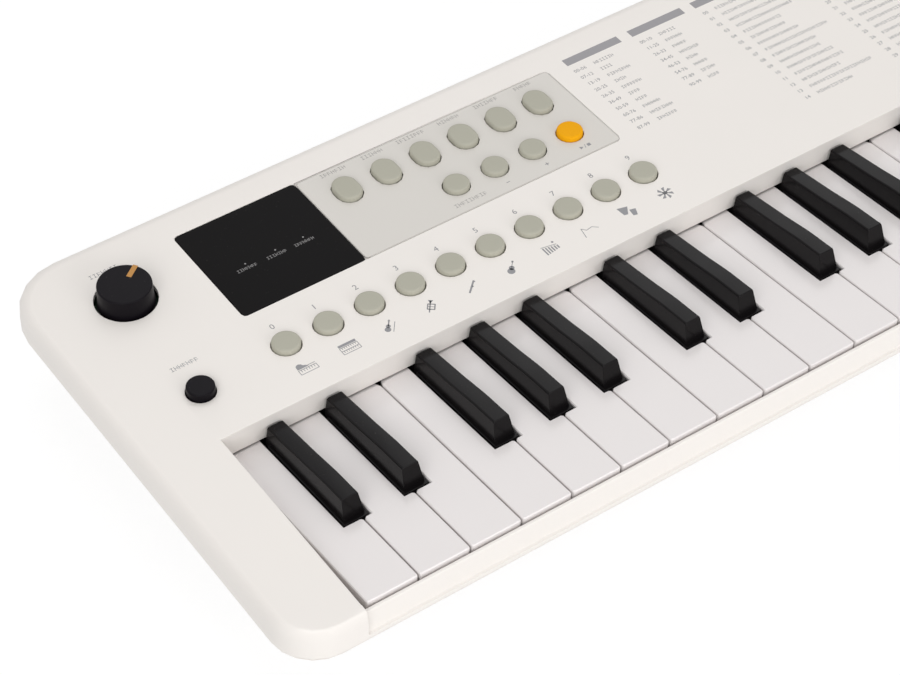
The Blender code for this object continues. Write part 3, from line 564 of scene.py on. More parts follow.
def ridge(y):
    """Height of a black key's top over the white surface."""
    for (y0, h0), (y1, h1) in zip(BLACK_RIDGE, BLACK_RIDGE[1:]):
        if y <= y1:
            return h0 + (h1 - h0) * max(0.0, (y - y0) / (y1 - y0))
    return BLACK_RIDGE[-1][1]


def black_section(middle, y):
    """The sloping sides and rounded top edges of a black key, seen from the front."""
    level = white_surface(y)
    top = level + ridge(y)
    lean = BLACK_LEAN * max(0.0, 1.0 - (y - BLACK_FRONT) / (BLACK_LEAN_END - BLACK_FRONT))
    side = [(BLACK_HALF_BASE, level - drop) for drop in (FOOT_BOTTOM - BODY_RISE, WIDEST_DROP)]
    side += [(BLACK_HALF_TOP + outward, top - down) for outward, down in BLACK_SHOULDER]
    ring = [(middle + w, z) for w, z in side] + [(middle - w, z) for w, z in reversed(side)]
    return [(x, y + lean * max(0.0, (z - level) / (top - level)), z) for x, z in ring]


def foot_section(middle, y):
    level = white_surface(y)
    top, bottom = level - FOOT_DROP, level - FOOT_BOTTOM
    corners = ((-1, top), (1, top), (1, bottom), (-1, bottom))
    return [(middle + side * FOOT_HALF_WIDTH, y, z) for side, z in corners]


def black_shape(work, node):
    """The whole black key: body, the foot that fills its slot, and the tail with its boss."""
    bmesh.ops.delete(work, geom=work.verts[:], context="VERTS")
    low, high = layout_box(node)
    middle = 0.5 * (low.x + high.x)
    reach = BLACK_BACK - BLACK_FRONT
    depths = [BLACK_FRONT + reach * k / BLACK_STEPS for k in range(BLACK_STEPS + 1)]
    skin_rings(work, [black_section(middle, y) for y in depths])
    skin_rings(work, [foot_section(middle, y) for y in (FOOT_FRONT, FOOT_BACK)])
    under = [
        (PIVOT[0] + BOSS_RADIUS * math.cos(t), PIVOT[1] + BOSS_RADIUS * math.sin(t))
        for t in BOSS_TURNS
    ]
    over = [(y, 2 * PIVOT[1] - z) for y, z in reversed(under)]
    tail = [(TAIL_FRONT, TAIL_LOW), *under, (TAIL_BACK, TAIL_LOW), (TAIL_BACK, TAIL_HIGH)]
    tail += [*over, (TAIL_FRONT, TAIL_HIGH)]
    sides = (-TAIL_HALF_WIDTH, TAIL_HALF_WIDTH)
    skin_rings(work, [[(middle + side, y, z) for y, z in tail] for side in sides])


print("black keys have", BLACK_STEPS + 1, "rings")

# %% Keys, case and the other plain mouldings
WHITE_EDGE, BLACK_EDGE, EDGE_STEPS, BLACK_CREASE = 0.14, 0.28, 3, 40.0
MOULDING_EDGES = {"upper_case": 0.22, "lower_case": 0.25, "battery_door": 0.3}
for node in sorted(frame["nodes"]):
    for material_slot in frame["nodes"][node].material_slots:
        material_slot.material = finishes[slot_of_node[node]]
for node in sorted(frame["nodes"]):
    if node.startswith("white_key"):
        dressed(node, WHITE_EDGE, reshape=longer_back)
    elif node.startswith("black_key"):
        dressed(node, BLACK_EDGE, EDGE_STEPS, BLACK_CREASE, black_shape)
for node, radius in MOULDING_EDGES.items():
    dressed(node, radius)

# %% [markdown]
# ## Turned pieces
#
# The knob, the round buttons and the screws are round about an upright line, so one small lathe
# makes them all from a profile: points of radius and height that run up the outside. Rounded
# shoulders come from short arcs in the profile, which costs fewer faces than a bevel and keeps
# the top perfectly flat.

# %% Lathe
LATHE_STEPS = 64
SHARP_ANGLE = 40.0


def full_turn(steps):
    return [2 * math.pi * k / steps for k in range(steps)]


def arc(radius, height, size, start, end, steps=4):
    """Points of a shoulder with the given size, about the profile point (radius, height)."""
    turns = [math.radians(start + (end - start) * k / steps) for k in range(steps + 1)]
    return [(radius + size * math.cos(turn), height + size * math.sin(turn)) for turn in turns]


def mesh_of(work, name, *materials):
    """Hands a finished bmesh over as a mesh."""
    mesh = bpy.data.meshes.new(name)
    work.to_mesh(mesh)
    work.free()
    for material in materials:
        mesh.materials.append(material)
    return mesh


def smooth_piece(work, name, *materials):
    """A piece that is smooth but for its sharp edges."""
    mesh = mesh_of(work, name, *materials)
    mesh.shade_smooth()
    mesh.set_sharp_from_angle(angle=math.radians(SHARP_ANGLE))
    return new_object(name, mesh)


def loop_solid(name, rings):
    """A closed solid through rings of layout points, each anticlockwise, lowest first."""
    work = bmesh.new()
    ring_faces(work, rings)
    return smooth_piece(work, name)


def lathe(name, x, y, profile, steps=LATHE_STEPS):
    turns = full_turn(steps)
    rings = [[(x + r * math.cos(t), y + r * math.sin(t), z) for t in turns] for r, z in profile]
    return loop_solid(name, rings)


def stadium(x, y, half_width, half_length, steps=14):
    """A slot's outline with round ends, long along Y."""
    straight = half_length - half_width
    outline = []
    for side, start in ((1, 0.0), (-1, math.pi)):
        for k in range(steps + 1):
            turn = start + math.pi * k / steps
            across, along = half_width * math.cos(turn), half_width * math.sin(turn)
            outline.append((x + across, y + side * straight + along))
    return outline


print("shoulder points:", len(arc(4.0, 1.0, 0.6, 0.0, 90.0)))

# %% [markdown]
# ## One row, many pieces
#
# Ten number buttons, six oval ones and three round ones are copies in a row, so a Geometry
# Nodes tree does the copying. It lays points along a line, puts the same piece on each, turns
# the copies into real faces and gives them their material. Moulded keypads look just like this:
# one web, many equal caps.

# %% Row tree
INTEGER, OBJECT, MATERIAL = "NodeSocketInt", "NodeSocketObject", "NodeSocketMaterial"


def geometry_tree(name, sockets):
    """A new tree, with the sockets that bring its inputs in."""
    tree = bpy.data.node_groups.new(name, "GeometryNodeTree")
    for label, kind in sockets:
        tree.interface.new_socket(label, in_out="INPUT", socket_type=kind)
    tree.interface.new_socket("Geometry", in_out="OUTPUT", socket_type="NodeSocketGeometry")
    return tree, add(tree, "NodeGroupInput").outputs


def finish_tree(tree, made, material):
    """The last steps of every tree: real faces, their material, and out."""
    real = add(tree, "GeometryNodeRealizeInstances", {0: made}).outputs[0]
    paint = add(tree, "GeometryNodeSetMaterial", {"Geometry": real, "Material": material})
    add(tree, "NodeGroupOutput", {0: paint.outputs[0]})


def geometry_of(tree, socket):
    return add(tree, "GeometryNodeObjectInfo", {"Object": socket}).outputs["Geometry"]


row_tree, row_in = geometry_tree(
    "piece_row", [("Piece", OBJECT), ("Count", INTEGER), ("Step", VECTOR), ("Material", MATERIAL)]
)
spacing = {"Count": row_in["Count"], "Offset": row_in["Step"]}
line = add(row_tree, "GeometryNodeMeshLine", spacing, mode="OFFSET").outputs[0]
copying = {"Points": line, "Instance": geometry_of(row_tree, row_in["Piece"])}
copies = add(row_tree, "GeometryNodeInstanceOnPoints", copying)
finish_tree(row_tree, copies.outputs[0], row_in["Material"])


def grown(name, tree, values):
    """Runs a tree with the given inputs and keeps the result as a plain mesh."""
    piece = new_object(name, bpy.data.meshes.new(name))
    growth = piece.modifiers.new("growth", "NODES")
    growth.node_group = tree
    for item in tree.interface.items_tree:
        if item.in_out == "INPUT":
            growth[item.identifier] = values[item.name]
    return applied(piece)


def remove(*helpers):
    for helper in helpers:
        bpy.data.objects.remove(helper, do_unlink=True)


def row_of(name, pattern, count, step, material):
    """Copies a pattern piece along a line and removes the pattern."""
    values = {"Piece": pattern, "Count": count, "Step": step, "Material": material}
    made = grown(name, row_tree, values)
    remove(pattern)
    return made


print("row tree has", len(row_tree.nodes), "nodes")

# %% [markdown]
# ## The silicone keypads
#
# Each cap is a low cylinder with a flat top and a soft shoulder. The shoulder is what catches
# the light, so it is made wide. The web under the panel stays a plain sheet, because only the
# caps show through the holes.

# %% Caps and webs
CAP_TOP, CAP_SHOULDER, CAP_FLAT = 1.9, 0.8, 0.25
WEB_LOW, WEB_HIGH = -4.0, -2.5
CAP_ROOT = -3.0
NUMBER_PITCH, OVAL_PITCH = 17.0, 16.97
NUMBER_COUNT, OVAL_COUNT, TEMPO_COUNT = 10, 6, 3
NUMBER_RADIUS, ROUND_RADIUS = 5.12, 4.92
OVAL_HALF_WIDTH, OVAL_HALF_LENGTH = 4.85, 6.38


def cap_profile(radius):
    return [
        (radius, CAP_ROOT),
        *arc(radius - CAP_SHOULDER, CAP_TOP - CAP_SHOULDER, CAP_SHOULDER, 0.0, 78.0),
        (radius - CAP_SHOULDER - CAP_FLAT, CAP_TOP),
    ]


def row_start(node, count, pitch):
    """Middle of the row's first cap, from the keypad's own solid."""
    low, high = layout_box(node)
    return 0.5 * (low.x + high.x - (count - 1) * pitch), 0.5 * (low.y + high.y)


def centre_of(node):
    low, high = layout_box(node)
    return 0.5 * (low.x + high.x), 0.5 * (low.y + high.y), low, high


def block(name, low, high):
    (x0, y0, z0), (x1, y1, z1) = low, high
    corners = ((x0, y0), (x1, y0), (x1, y1), (x0, y1))
    return loop_solid(name, [[(x, y, z) for x, y in corners] for z in (z0, z1)])


def fused(name, *pieces):
    """Several pieces as one. The first piece's materials are kept."""
    work = bmesh.new()
    for piece in pieces:
        work.from_mesh(piece.data)
    joined = smooth_piece(work, name, *pieces[0].data.materials)
    remove(*pieces)
    return joined


def keypad(name, node, pattern, count, pitch):
    """A row of equal caps on a web."""
    finish = finishes[slot_of_node[node]]
    caps = row_of(f"{name}_caps", pattern, count, (pitch * MM, 0.0, 0.0), finish)
    low, high = layout_box(node)
    web = block(f"{name}_web", (low.x, low.y, WEB_LOW), (high.x, high.y, WEB_HIGH))
    return stand_in(fused(name, caps, web), node)


number_x, number_y = row_start("number_keypad", NUMBER_COUNT, NUMBER_PITCH)
oval_x, oval_y = row_start("function_keypad", OVAL_COUNT, OVAL_PITCH)
tempo_x, tempo_y = row_start("tempo_keypad", TEMPO_COUNT, OVAL_PITCH)

number_cap = lathe("number_cap", number_x, number_y, cap_profile(NUMBER_RADIUS))
keypad("number_buttons", "number_keypad", number_cap, NUMBER_COUNT, NUMBER_PITCH)
tempo_cap = lathe("tempo_cap", tempo_x, tempo_y, cap_profile(ROUND_RADIUS))
keypad("tempo_buttons", "tempo_keypad", tempo_cap, TEMPO_COUNT, OVAL_PITCH)
oval_rings = []
for reach, height in cap_profile(0.0):
    outline = stadium(oval_x, oval_y, OVAL_HALF_WIDTH + reach, OVAL_HALF_LENGTH + reach)
    oval_rings.append([(x, y, height) for x, y in outline])
oval_cap = loop_solid("oval_cap", oval_rings)
keypad("function_buttons", "function_keypad", oval_cap, OVAL_COUNT, OVAL_PITCH)
print("first number cap at", round(number_x, 2), round(number_y, 2))

# %% Play and stop button
play_x, play_y, play_low, play_high = centre_of("play_stop_button")
play_web = 0.5 * (play_high.x - play_low.x)
play_profile = [
    (play_web, WEB_LOW),
    (play_web, WEB_HIGH),
    (ROUND_RADIUS, WEB_HIGH),
    *cap_profile(ROUND_RADIUS)[1:],
]
stand_in(lathe("play_cap", play_x, play_y, play_profile), "play_stop_button")
print("yellow button at", round(play_x, 2), round(play_y, 2))

# %% [markdown]
# ## Power button and volume knob
#
# Both are hard black plastic. The power button is a plain cap on a wide hidden flange. The knob
# is a low drum with a soft top edge, and it is hollow below, where it slips over the shaft. Its
# pale pointer is a strip let into the top, as on a real knob, where the paint fills a groove.

# %% Power button
POWER_RADIUS, POWER_TOP, POWER_EDGE, POWER_FLAT = 5.0, 2.4, 0.55, 0.2
POWER_STEM, FLANGE_LOW = 2.2, -3.6

power_x, power_y, power_low, power_high = centre_of("power_button")
power_flange = 0.5 * (power_high.x - power_low.x)
power_profile = [
    (POWER_STEM, power_low.z),
    (POWER_STEM, FLANGE_LOW),
    (power_flange, FLANGE_LOW),
    (power_flange, WEB_HIGH),
    (POWER_RADIUS, WEB_HIGH),
    *arc(POWER_RADIUS - POWER_EDGE, POWER_TOP - POWER_EDGE, POWER_EDGE, 0.0, 84.0),
    (POWER_RADIUS - POWER_EDGE - POWER_FLAT, POWER_TOP),
]
stand_in(lathe("power_cap", power_x, power_y, power_profile), "power_button")
print("power button at", round(power_x, 2), round(power_y, 2))

# %% Knob
KNOB_TOP, PAINT = 7.2, 0.02
DRUM_TOP = KNOB_TOP - PAINT
KNOB_EDGE, KNOB_FLAT = 0.5, 0.3
BORE_TIP, BORE, BORE_TOP, SLEEVE = 0.4, 3.3, 3.5, 4.4
KNOB_FOOT, KNOB_SKIRT, KNOB_TOP_RADIUS = -1.6, 10.25, 9.72
knob_x, knob_y, knob_low, knob_high = centre_of("volume_knob")
knob_profile = [
    (BORE_TIP, BORE_TOP),
    (BORE, BORE_TOP),
    (BORE, knob_low.z),
    (SLEEVE, knob_low.z),
    (SLEEVE, KNOB_FOOT),
    (KNOB_SKIRT, KNOB_FOOT),
    (KNOB_SKIRT - 0.15, 0.0),
    (KNOB_TOP_RADIUS + 0.1, 3.0),
    *arc(KNOB_TOP_RADIUS - KNOB_EDGE, DRUM_TOP - KNOB_EDGE, KNOB_EDGE, 2.0, 86.0, 5),
    (KNOB_TOP_RADIUS - KNOB_EDGE - KNOB_FLAT, DRUM_TOP),
]
stand_in(lathe("knob_drum", knob_x, knob_y, knob_profile, 96), "volume_knob")
print("knob stands", round(knob_high.z, 1), "mm over the panel")

# %% Knob's pointer
POINTER_TURN, POINTER_WIDTH, POINTER_START, POINTER_MARGIN = math.radians(53.5), 1.9, 4.0, 0.2


def prisms(work, outlines, low, high):
    """Adds upright prisms on layout outlines, each turned to run anticlockwise first."""
    for outline in outlines:
        pairs = zip(outline, outline[1:] + outline[:1])
        area = sum(x0 * y1 - x1 * y0 for (x0, y0), (x1, y1) in pairs)
        ring = outline if area > 0 else outline[::-1]
        ring_faces(work, [[(x, y, z) for x, y in ring] for z in (low, high)])


def printed(name, outlines, low, high, material, body="case"):
    """Thin prisms on outlines, as one piece."""
    work = bmesh.new()
    prisms(work, outlines, low, high)
    piece = new_object(name, mesh_of(work, name, material))
    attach(piece, body)
    return piece


def stroke(x0, y0, x1, y1, width):
    """A straight line with a width, as an outline of four corners."""
    ahead = Vector((x1 - x0, y1 - y0)).normalized() * 0.5 * width
    side = Vector((-ahead.y, ahead.x))
    start, end = Vector((x0, y0)) - 0.3 * ahead, Vector((x1, y1)) + 0.3 * ahead
    return [tuple(start - side), tuple(end - side), tuple(end + side), tuple(start + side)]


pointer_way = Vector((math.sin(POINTER_TURN), math.cos(POINTER_TURN)))
reaches = (POINTER_START, KNOB_TOP_RADIUS - POINTER_MARGIN)
inner, outer = [Vector((knob_x, knob_y)) + pointer_way * reach for reach in reaches]
pointer = [stroke(*inner, *outer, POINTER_WIDTH)]
volume_body = body_of("volume_knob")
printed("knob_pointer", pointer, DRUM_TOP - PAINT, KNOB_TOP, pointer_paint, volume_body)
print("pointer is", round(reaches[1] - reaches[0], 1), "mm long")

# %% [markdown]
# ## Display window and grey sheet
#
# The window and the sheet lie in one shallow recess of the panel. Both keep their CAD shape,
# with a hairline bevel that catches the light round the holes. On the window sit three small
# unlit labels, drawn as rows of small signs. Print is modelled as a very thin solid here, so
# that it keeps its edges from near by.

# %% Window and sheet
WINDOW_BEVEL, SHEET_BEVEL = 0.12, 0.06
BORDER_WIDTH, BORDER_INSET = 0.2, 0.25
BORDER_INK = (-0.055, -0.035)
dressed("display_window", WINDOW_BEVEL)
dressed("panel_overlay", SHEET_BEVEL, 1)


def frame_outlines(low, high, inset, width):
    """Four strokes just inside a rectangle."""
    x0, y0, x1, y1 = low.x + inset, low.y + inset, high.x - inset, high.y - inset
    corners = ((x0, y0), (x1, y0), (x1, y1), (x0, y1))
    return [stroke(*start, *end, width) for start, end in zip(corners, corners[1:] + corners[:1])]


sheet_frame = frame_outlines(*layout_box("panel_overlay"), BORDER_INSET, BORDER_WIDTH)
printed("sheet_border", sheet_frame, *BORDER_INK, border_ink)
print("window and sheet dressed")

# %% [markdown]
# ## Small print as rows of signs
#
# The panel carries tables of voices, rhythms and songs. Their numbers are plain numerals and
# stay. Their names become rows of small signs that read as text from a distance but spell
# nothing. A Geometry Nodes tree sets them: it numbers the points, turns each number into a row
# and a column, cuts every row at a random length, and puts one of three small signs on each
# point.

# %% Sign rows tree: places
SIGN_OBJECTS = ("Sign A", "Sign B", "Sign C")
SIGN_SOCKETS = [(label, OBJECT) for label in SIGN_OBJECTS]
SIGN_SOCKETS += [("Rows", INTEGER), ("Signs", INTEGER), ("Pitch", FLOAT), ("Row Pitch", FLOAT)]
SIGN_SOCKETS += [("Shortest", FLOAT), ("Seed", INTEGER), ("Material", MATERIAL)]
sign_tree, sign_in = geometry_tree("sign_rows", SIGN_SOCKETS)


def reckon(operation, first, second):
    """A step of arithmetic in the sign tree."""
    return maths(sign_tree, operation, first, second)


number = add(sign_tree, "GeometryNodeInputIndex").outputs[0]
sign_row = reckon("FLOOR", reckon("DIVIDE", reckon("ADD", number, 0.5), sign_in["Signs"]), 0.0)
column = reckon("SUBTRACT", number, reckon("MULTIPLY", sign_row, sign_in["Signs"]))
heap = {"Offset": (0.0, 0.0, 0.0), "Count": reckon("MULTIPLY", sign_in["Rows"], sign_in["Signs"])}
dots = add(sign_tree, "GeometryNodeMeshLine", heap, mode="OFFSET").outputs[0]
across = reckon("MULTIPLY", column, sign_in["Pitch"])
down = reckon("MULTIPLY", sign_row, sign_in["Row Pitch"])
sign_place = add(sign_tree, "ShaderNodeCombineXYZ", {"X": across, "Y": down}).outputs[0]
spreading = {"Geometry": dots, "Position": sign_place}
spread_out = add(sign_tree, "GeometryNodeSetPosition", spreading).outputs[0]
print("sign places:", len(sign_tree.nodes), "nodes")

# %% Sign rows tree: cuts and choice
LENGTH_SHIFT, CHOICE_SHIFT = 1, 7


def dice(kind, low, high, each, shift):
    """A random number for each row or point, with a fixed seed."""
    drawing = {"ID": each, "Seed": reckon("ADD", sign_in["Seed"], shift)}
    roll = add(sign_tree, "FunctionNodeRandomValue", drawing, data_type=kind)
    live = [index for index, socket in enumerate(roll.inputs) if socket.enabled]
    feed(roll, {live[0]: low, live[1]: high})
    return next(socket for socket in roll.outputs if socket.enabled)


share = dice("FLOAT", sign_in["Shortest"], 1.0, sign_row, LENGTH_SHIFT)
past_end = reckon("GREATER_THAN", column, reckon("MULTIPLY", share, sign_in["Signs"]))
trimming = {"Geometry": spread_out, "Selection": past_end}
trimmed = add(sign_tree, "GeometryNodeDeleteGeometry", trimming, domain="POINT").outputs[0]
signs = add(sign_tree, "GeometryNodeJoinGeometry")
for label in reversed(SIGN_OBJECTS):
    sign = geometry_of(sign_tree, sign_in[label])
    feed(signs, {0: add(sign_tree, "GeometryNodeGeometryToInstance", {0: sign}).outputs[0]})
chosen = dice("INT", 0, 2, number, CHOICE_SHIFT)
setting = {"Points": trimmed, "Instance": signs.outputs[0], "Instance Index": chosen}
setting["Pick Instance"] = True
set_signs = add(sign_tree, "GeometryNodeInstanceOnPoints", setting)
finish_tree(sign_tree, set_signs.outputs[0], sign_in["Material"])
print("sign rows tree has", len(sign_tree.nodes), "nodes")

# %% The three signs
PANEL_INK = (-0.01, 0.02)
SHEET_INK = (-0.06, -0.03)
WINDOW_INK = (-0.11, -0.08)
SIGN_WEIGHT = 0.2
SIGN_PITCH = 0.78
TABLE_PITCH = 4.37
SIGN_STROKES = {
    "Sign A": ((0.1, 0.0, 0.1, 1.0), (0.1, 0.5, 0.55, 0.5), (0.6, 0.15, 0.6, 0.85)),
    "Sign B": ((0.1, 0.1, 0.6, 0.1), (0.35, 0.1, 0.35, 0.9), (0.1, 0.9, 0.6, 0.9)),
    "Sign C": ((0.12, 0.0, 0.12, 0.9), (0.12, 0.9, 0.6, 0.75), (0.12, 0.45, 0.6, 0.35)),
}


def bare_signs(height, levels):
    """The three signs at the given height, as helper objects at the origin."""
    made = {}
    for label, lines in SIGN_STROKES.items():
        work = bmesh.new()
        outlines = [stroke(*[end * height for end in ends], SIGN_WEIGHT) for ends in lines]
        prisms(work, outlines, *levels)
        bmesh.ops.translate(work, verts=work.verts, vec=-spot(0.0, 0.0))
        made[label] = new_object(label, mesh_of(work, label))
    return made


def sign_rows(
    name, x, y, rows, count, height, seed, material, levels=PANEL_INK, shortest=1.0
):
    """Rows of signs. (x, y) is the left end of the top row's middle line."""
    helpers = bare_signs(height, levels)
    values = {
        "Rows": rows,
        "Signs": count,
        "Pitch": SIGN_PITCH * height * MM,
        "Row Pitch": -TABLE_PITCH * MM,
        "Shortest": shortest,
        "Seed": seed,
        "Material": material,
        **helpers,
    }
    piece = grown(name, sign_tree, values)
    piece.data.transform(Matrix.Translation(spot(x, y - height / 2)))
    remove(*helpers.values())
    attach(piece, "case")
    return piece


print("signs:", sorted(SIGN_STROKES))

# %% Numerals
NUMERAL_SHARE = 0.7
NUMERAL_MERGE = 1e-7
NUMBER_LABEL_Y, NUMBER_LABEL_SHIFT, NUMBER_LABEL_HEIGHT = 117.8, 0.5, 2.5


def numeral_mesh(text, align):
    """One text of the built-in font, as a mesh one unit thick."""
    curve = bpy.data.curves.new("numeral", "FONT")
    curve.body = text
    curve.size = 1.0
    curve.align_x = align
    curve.extrude = 0.5
    curve.resolution_u = 2
    writing = new_object("numeral", curve)
    graph = bpy.context.evaluated_depsgraph_get()
    mesh = bpy.data.meshes.new_from_object(writing.evaluated_get(graph))
    remove(writing)
    return mesh


def numerals(name, entries, height, align="LEFT"):
    """Plain numerals as one piece. Each entry is a text with the place of its middle line."""
    work = bmesh.new()
    scale = height * MM / NUMERAL_SHARE
    low, high = PANEL_INK
    depth = (high - low) * MM
    for text, x, y in entries:
        mesh = numeral_mesh(text, align)
        heights = [vertex.co.y for vertex in mesh.vertices]
        middle = 0.5 * (max(heights) + min(heights)) * scale
        place = spot(x, y, 0.5 * (low + high)) - Vector((0.0, middle, 0.0))
        mesh.transform(Matrix.Translation(place) @ Matrix.Diagonal((scale, scale, depth, 1.0)))
        work.from_mesh(mesh)
        bpy.data.meshes.remove(mesh)
    bmesh.ops.remove_doubles(work, verts=work.verts, dist=NUMERAL_MERGE)
    piece = new_object(name, mesh_of(work, name, panel_ink))
    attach(piece, "case")
    return piece


number_places = [number_x + NUMBER_PITCH * k for k in range(NUMBER_COUNT)]
digits = [
    (str(k), x + NUMBER_LABEL_SHIFT, NUMBER_LABEL_Y) for k, x in enumerate(number_places)
]
numerals("button_numbers", digits, NUMBER_LABEL_HEIGHT, "CENTER")
print("numerals over the buttons:", len(digits))

# %% Voice, rhythm and song tables
SMALL_TEXT = 1.7
VOICE_RANGES = "00-06 07-12 13-19 20-25 26-35 36-49 50-59 60-76 77-86 87-99".split()
RHYTHM_RANGES = "00-10 11-25 26-33 34-45 46-53 54-76 77-89 90-99".split()
FIRST_SONGS = [f"{k:02d}" for k in range(15)]
SECOND_SONGS = [f"{k:02d}" for k in range(15, 30)]
# Name, numbers, left end of the numbers and of the names, height on the panel, signs in a full
# row, seed and shortest row.
TABLES = (
    ("voice_{}", VOICE_RANGES, 205.3, 214.6, 168.1, 8, 3, 0.35),
    ("rhythm_{}", RHYTHM_RANGES, 236.4, 245.4, 167.7, 7, 5, 0.45),
    ("song_{}_first", FIRST_SONGS, 267.4, 273.4, 167.9, 24, 8, 0.5),
    ("song_{}_second", SECOND_SONGS, 311.0, 317.0, 167.9, 24, 13, 0.5),
)
HEADER_BARS = ((205.3, 231.1), (236.25, 262.0), (267.0, 292.8))
HEADER_LOW, HEADER_HIGH = 172.2, 176.1


def rectangle(x0, y0, x1, y1):
    return [(x0, y0), (x1, y0), (x1, y1), (x0, y1)]


for name, labels, x, _, top, *_ in TABLES:
    rows = [(label, x, top - TABLE_PITCH * k) for k, label in enumerate(labels)]
    numerals(name.format("numbers"), rows, SMALL_TEXT)
for name, labels, _, x, top, count, seed, shortest in TABLES:
    style = {"seed": seed, "material": panel_ink, "shortest": shortest}
    sign_rows(name.format("names"), x, top, len(labels), count, SMALL_TEXT, **style)
header_outlines = [rectangle(x0, HEADER_LOW, x1, HEADER_HIGH) for x0, x1 in HEADER_BARS]
printed("table_headers", header_outlines, *PANEL_INK, bar_ink)
print("tables:", len(TABLES))

# %% Labels beside the controls
LABEL_HEIGHT = 2.0
OVAL_LABEL_Y, OVAL_LABEL_SHIFT = 172.6, 1.2
OVAL_SIGNS = (7, 6, 8, 6, 7, 5)
for index, count in enumerate(OVAL_SIGNS):
    left = oval_x + OVAL_PITCH * index - 0.39 * LABEL_HEIGHT * count + OVAL_LABEL_SHIFT
    name = f"oval_label_{index}"
    sign_rows(name, left, OVAL_LABEL_Y, 1, count, LABEL_HEIGHT, 20 + index, pale_ink, SHEET_INK)
# Name, left end, middle line, signs, height, seed, ink and its levels.
LABELS = [
    ("tempo_label", 125.2, 131.9, 9, LABEL_HEIGHT, 31, pale_ink, SHEET_INK),
    ("volume_label", -0.8, 174.0, 7, 2.1, 33, panel_ink, PANEL_INK),
    ("power_label", -0.1, 119.4, 7, LABEL_HEIGHT, 35, panel_ink, PANEL_INK),
]
for index, left in enumerate((43.4, 55.6, 67.0)):
    LABELS.append((f"window_word_{index}", left, 147.4, 7, 1.5, 40 + index, window_ink, WINDOW_INK))
for name, left, middle_y, count, height, seed, material, levels in LABELS:
    sign_rows(name, left, middle_y, 1, count, height, seed, material, levels)
print("labels:", len(OVAL_SIGNS) + len(LABELS))

# %% Window dots and sheet symbols
DOT_Y, DOT_RADIUS = 149.6, 0.35
SYMBOL_Y = 131.9
THIN, THINNER = 0.3, 0.22


def disc(x, y, radius, steps=16):
    return [(x + radius * math.cos(turn), y + radius * math.sin(turn)) for turn in full_turn(steps)]


window_dots = [disc(x, DOT_Y, DOT_RADIUS) for x in (48.0, 60.4, 72.0)]
printed("window_dots", window_dots, *WINDOW_INK, window_ink)
sheet_symbols = [
    stroke(148.0, SYMBOL_Y, 149.4, SYMBOL_Y, THIN),
    stroke(165.3, SYMBOL_Y, 166.9, SYMBOL_Y, THIN),
    stroke(166.1, SYMBOL_Y - 0.8, 166.1, SYMBOL_Y + 0.8, THIN),
    [(181.2, SYMBOL_Y - 0.8), (182.6, SYMBOL_Y), (181.2, SYMBOL_Y + 0.8)],
    stroke(183.1, SYMBOL_Y - 0.9, 183.8, SYMBOL_Y + 0.9, THINNER),
    rectangle(184.4, SYMBOL_Y - 0.7, 185.8, SYMBOL_Y + 0.7),
]
printed("sheet_symbols", sheet_symbols, *SHEET_INK, panel_ink)
print("dots and symbols:", len(window_dots), len(sheet_symbols))

# %% [markdown]
# ## Instrument symbols
#
# A small symbol stands in front of each number button and tells which group of voices it calls.
# Each one is drawn with straight strokes, discs and filled outlines in millimetres about its
# own middle, and becomes a film of ink on the panel. Drawing them as thin solids keeps their
# edges sharp at any distance.

# %% Drawing helpers
SYMBOL_X = number_x + 0.1
SYMBOL_MIDDLE_Y = 95.0
FINE, BOLD = 0.22, 0.4


def polyline(corners, width):
    return [stroke(*start, *end, width) for start, end in zip(corners, corners[1:])]


def boxed(x0, y0, x1, y1, width=FINE):
    return polyline([*rectangle(x0, y0, x1, y1), (x0, y0)], width)


def key_ticks(x0, x1, y0, y1, count, width=FINE):
    step = (x1 - x0) / (count + 1)
    return [stroke(x0 + step * (k + 1), y0, x0 + step * (k + 1), y1, width) for k in range(count)]


def around(reach, turn):
    return (reach * math.cos(turn), reach * math.sin(turn))


print("strokes of a box:", len(boxed(0.0, 0.0, 1.0, 1.0)))

# %% Ten voice symbols
piano_lid = [(-3.1, 0.2), (0.8, 0.2), (0.2, 0.9), (-0.6, 1.2)]
piano_lid += [(-1.0, 1.9), (-1.7, 2.3), (-2.5, 2.2), (-3.0, 1.6)]
piano = [
    piano_lid,
    stroke(0.6, 0.55, 3.1, 0.55, FINE),
    *boxed(-3.1, -2.1, 3.1, -0.2),
    *key_ticks(-3.1, 3.1, -1.2, -0.2, 6),
]
organ = [
    rectangle(-3.1, 0.9, 3.1, 1.9),
    *boxed(-3.1, -2.3, 3.1, 0.6),
    stroke(-3.1, -0.85, 3.1, -0.85, FINE),
    *key_ticks(-3.1, 3.1, -0.1, 0.6, 7),
    *key_ticks(-3.1, 3.1, -1.6, -0.85, 7),
]
violin = [
    disc(-0.7, -1.5, 1.0),
    disc(-0.7, -0.1, 0.75),
    stroke(-0.7, 0.0, -0.7, 2.6, BOLD),
    stroke(-1.05, 2.2, -0.35, 2.2, FINE),
    stroke(1.1, -2.2, 1.1, 2.0, FINE),
]
trumpet = [
    stroke(-0.5, -2.6, -0.5, 2.3, BOLD),
    [(-1.3, 2.6), (-0.7, 1.4), (-0.3, 1.4), (0.3, 2.6)],
    *boxed(-1.2, -1.3, 1.0, 0.9, BOLD),
    stroke(-1.0, -0.2, 0.9, -0.2, FINE),
]
flute = [stroke(-0.9, -2.6, 0.7, 2.6, 0.6), disc(0.95, 2.2, 0.22, 8), disc(0.25, 0.1, 0.3, 8)]
guitar = [
    disc(0.0, -1.6, 1.2),
    disc(0.0, -0.2, 0.85),
    stroke(0.0, 0.0, 0.0, 2.4, FINE),
    rectangle(-0.3, 2.1, 0.3, 2.8),
]
bars = [(-2.2 + 0.9 * k, -1.9 + 0.16 * k, 1.2 - 0.2 * k) for k in range(6)]
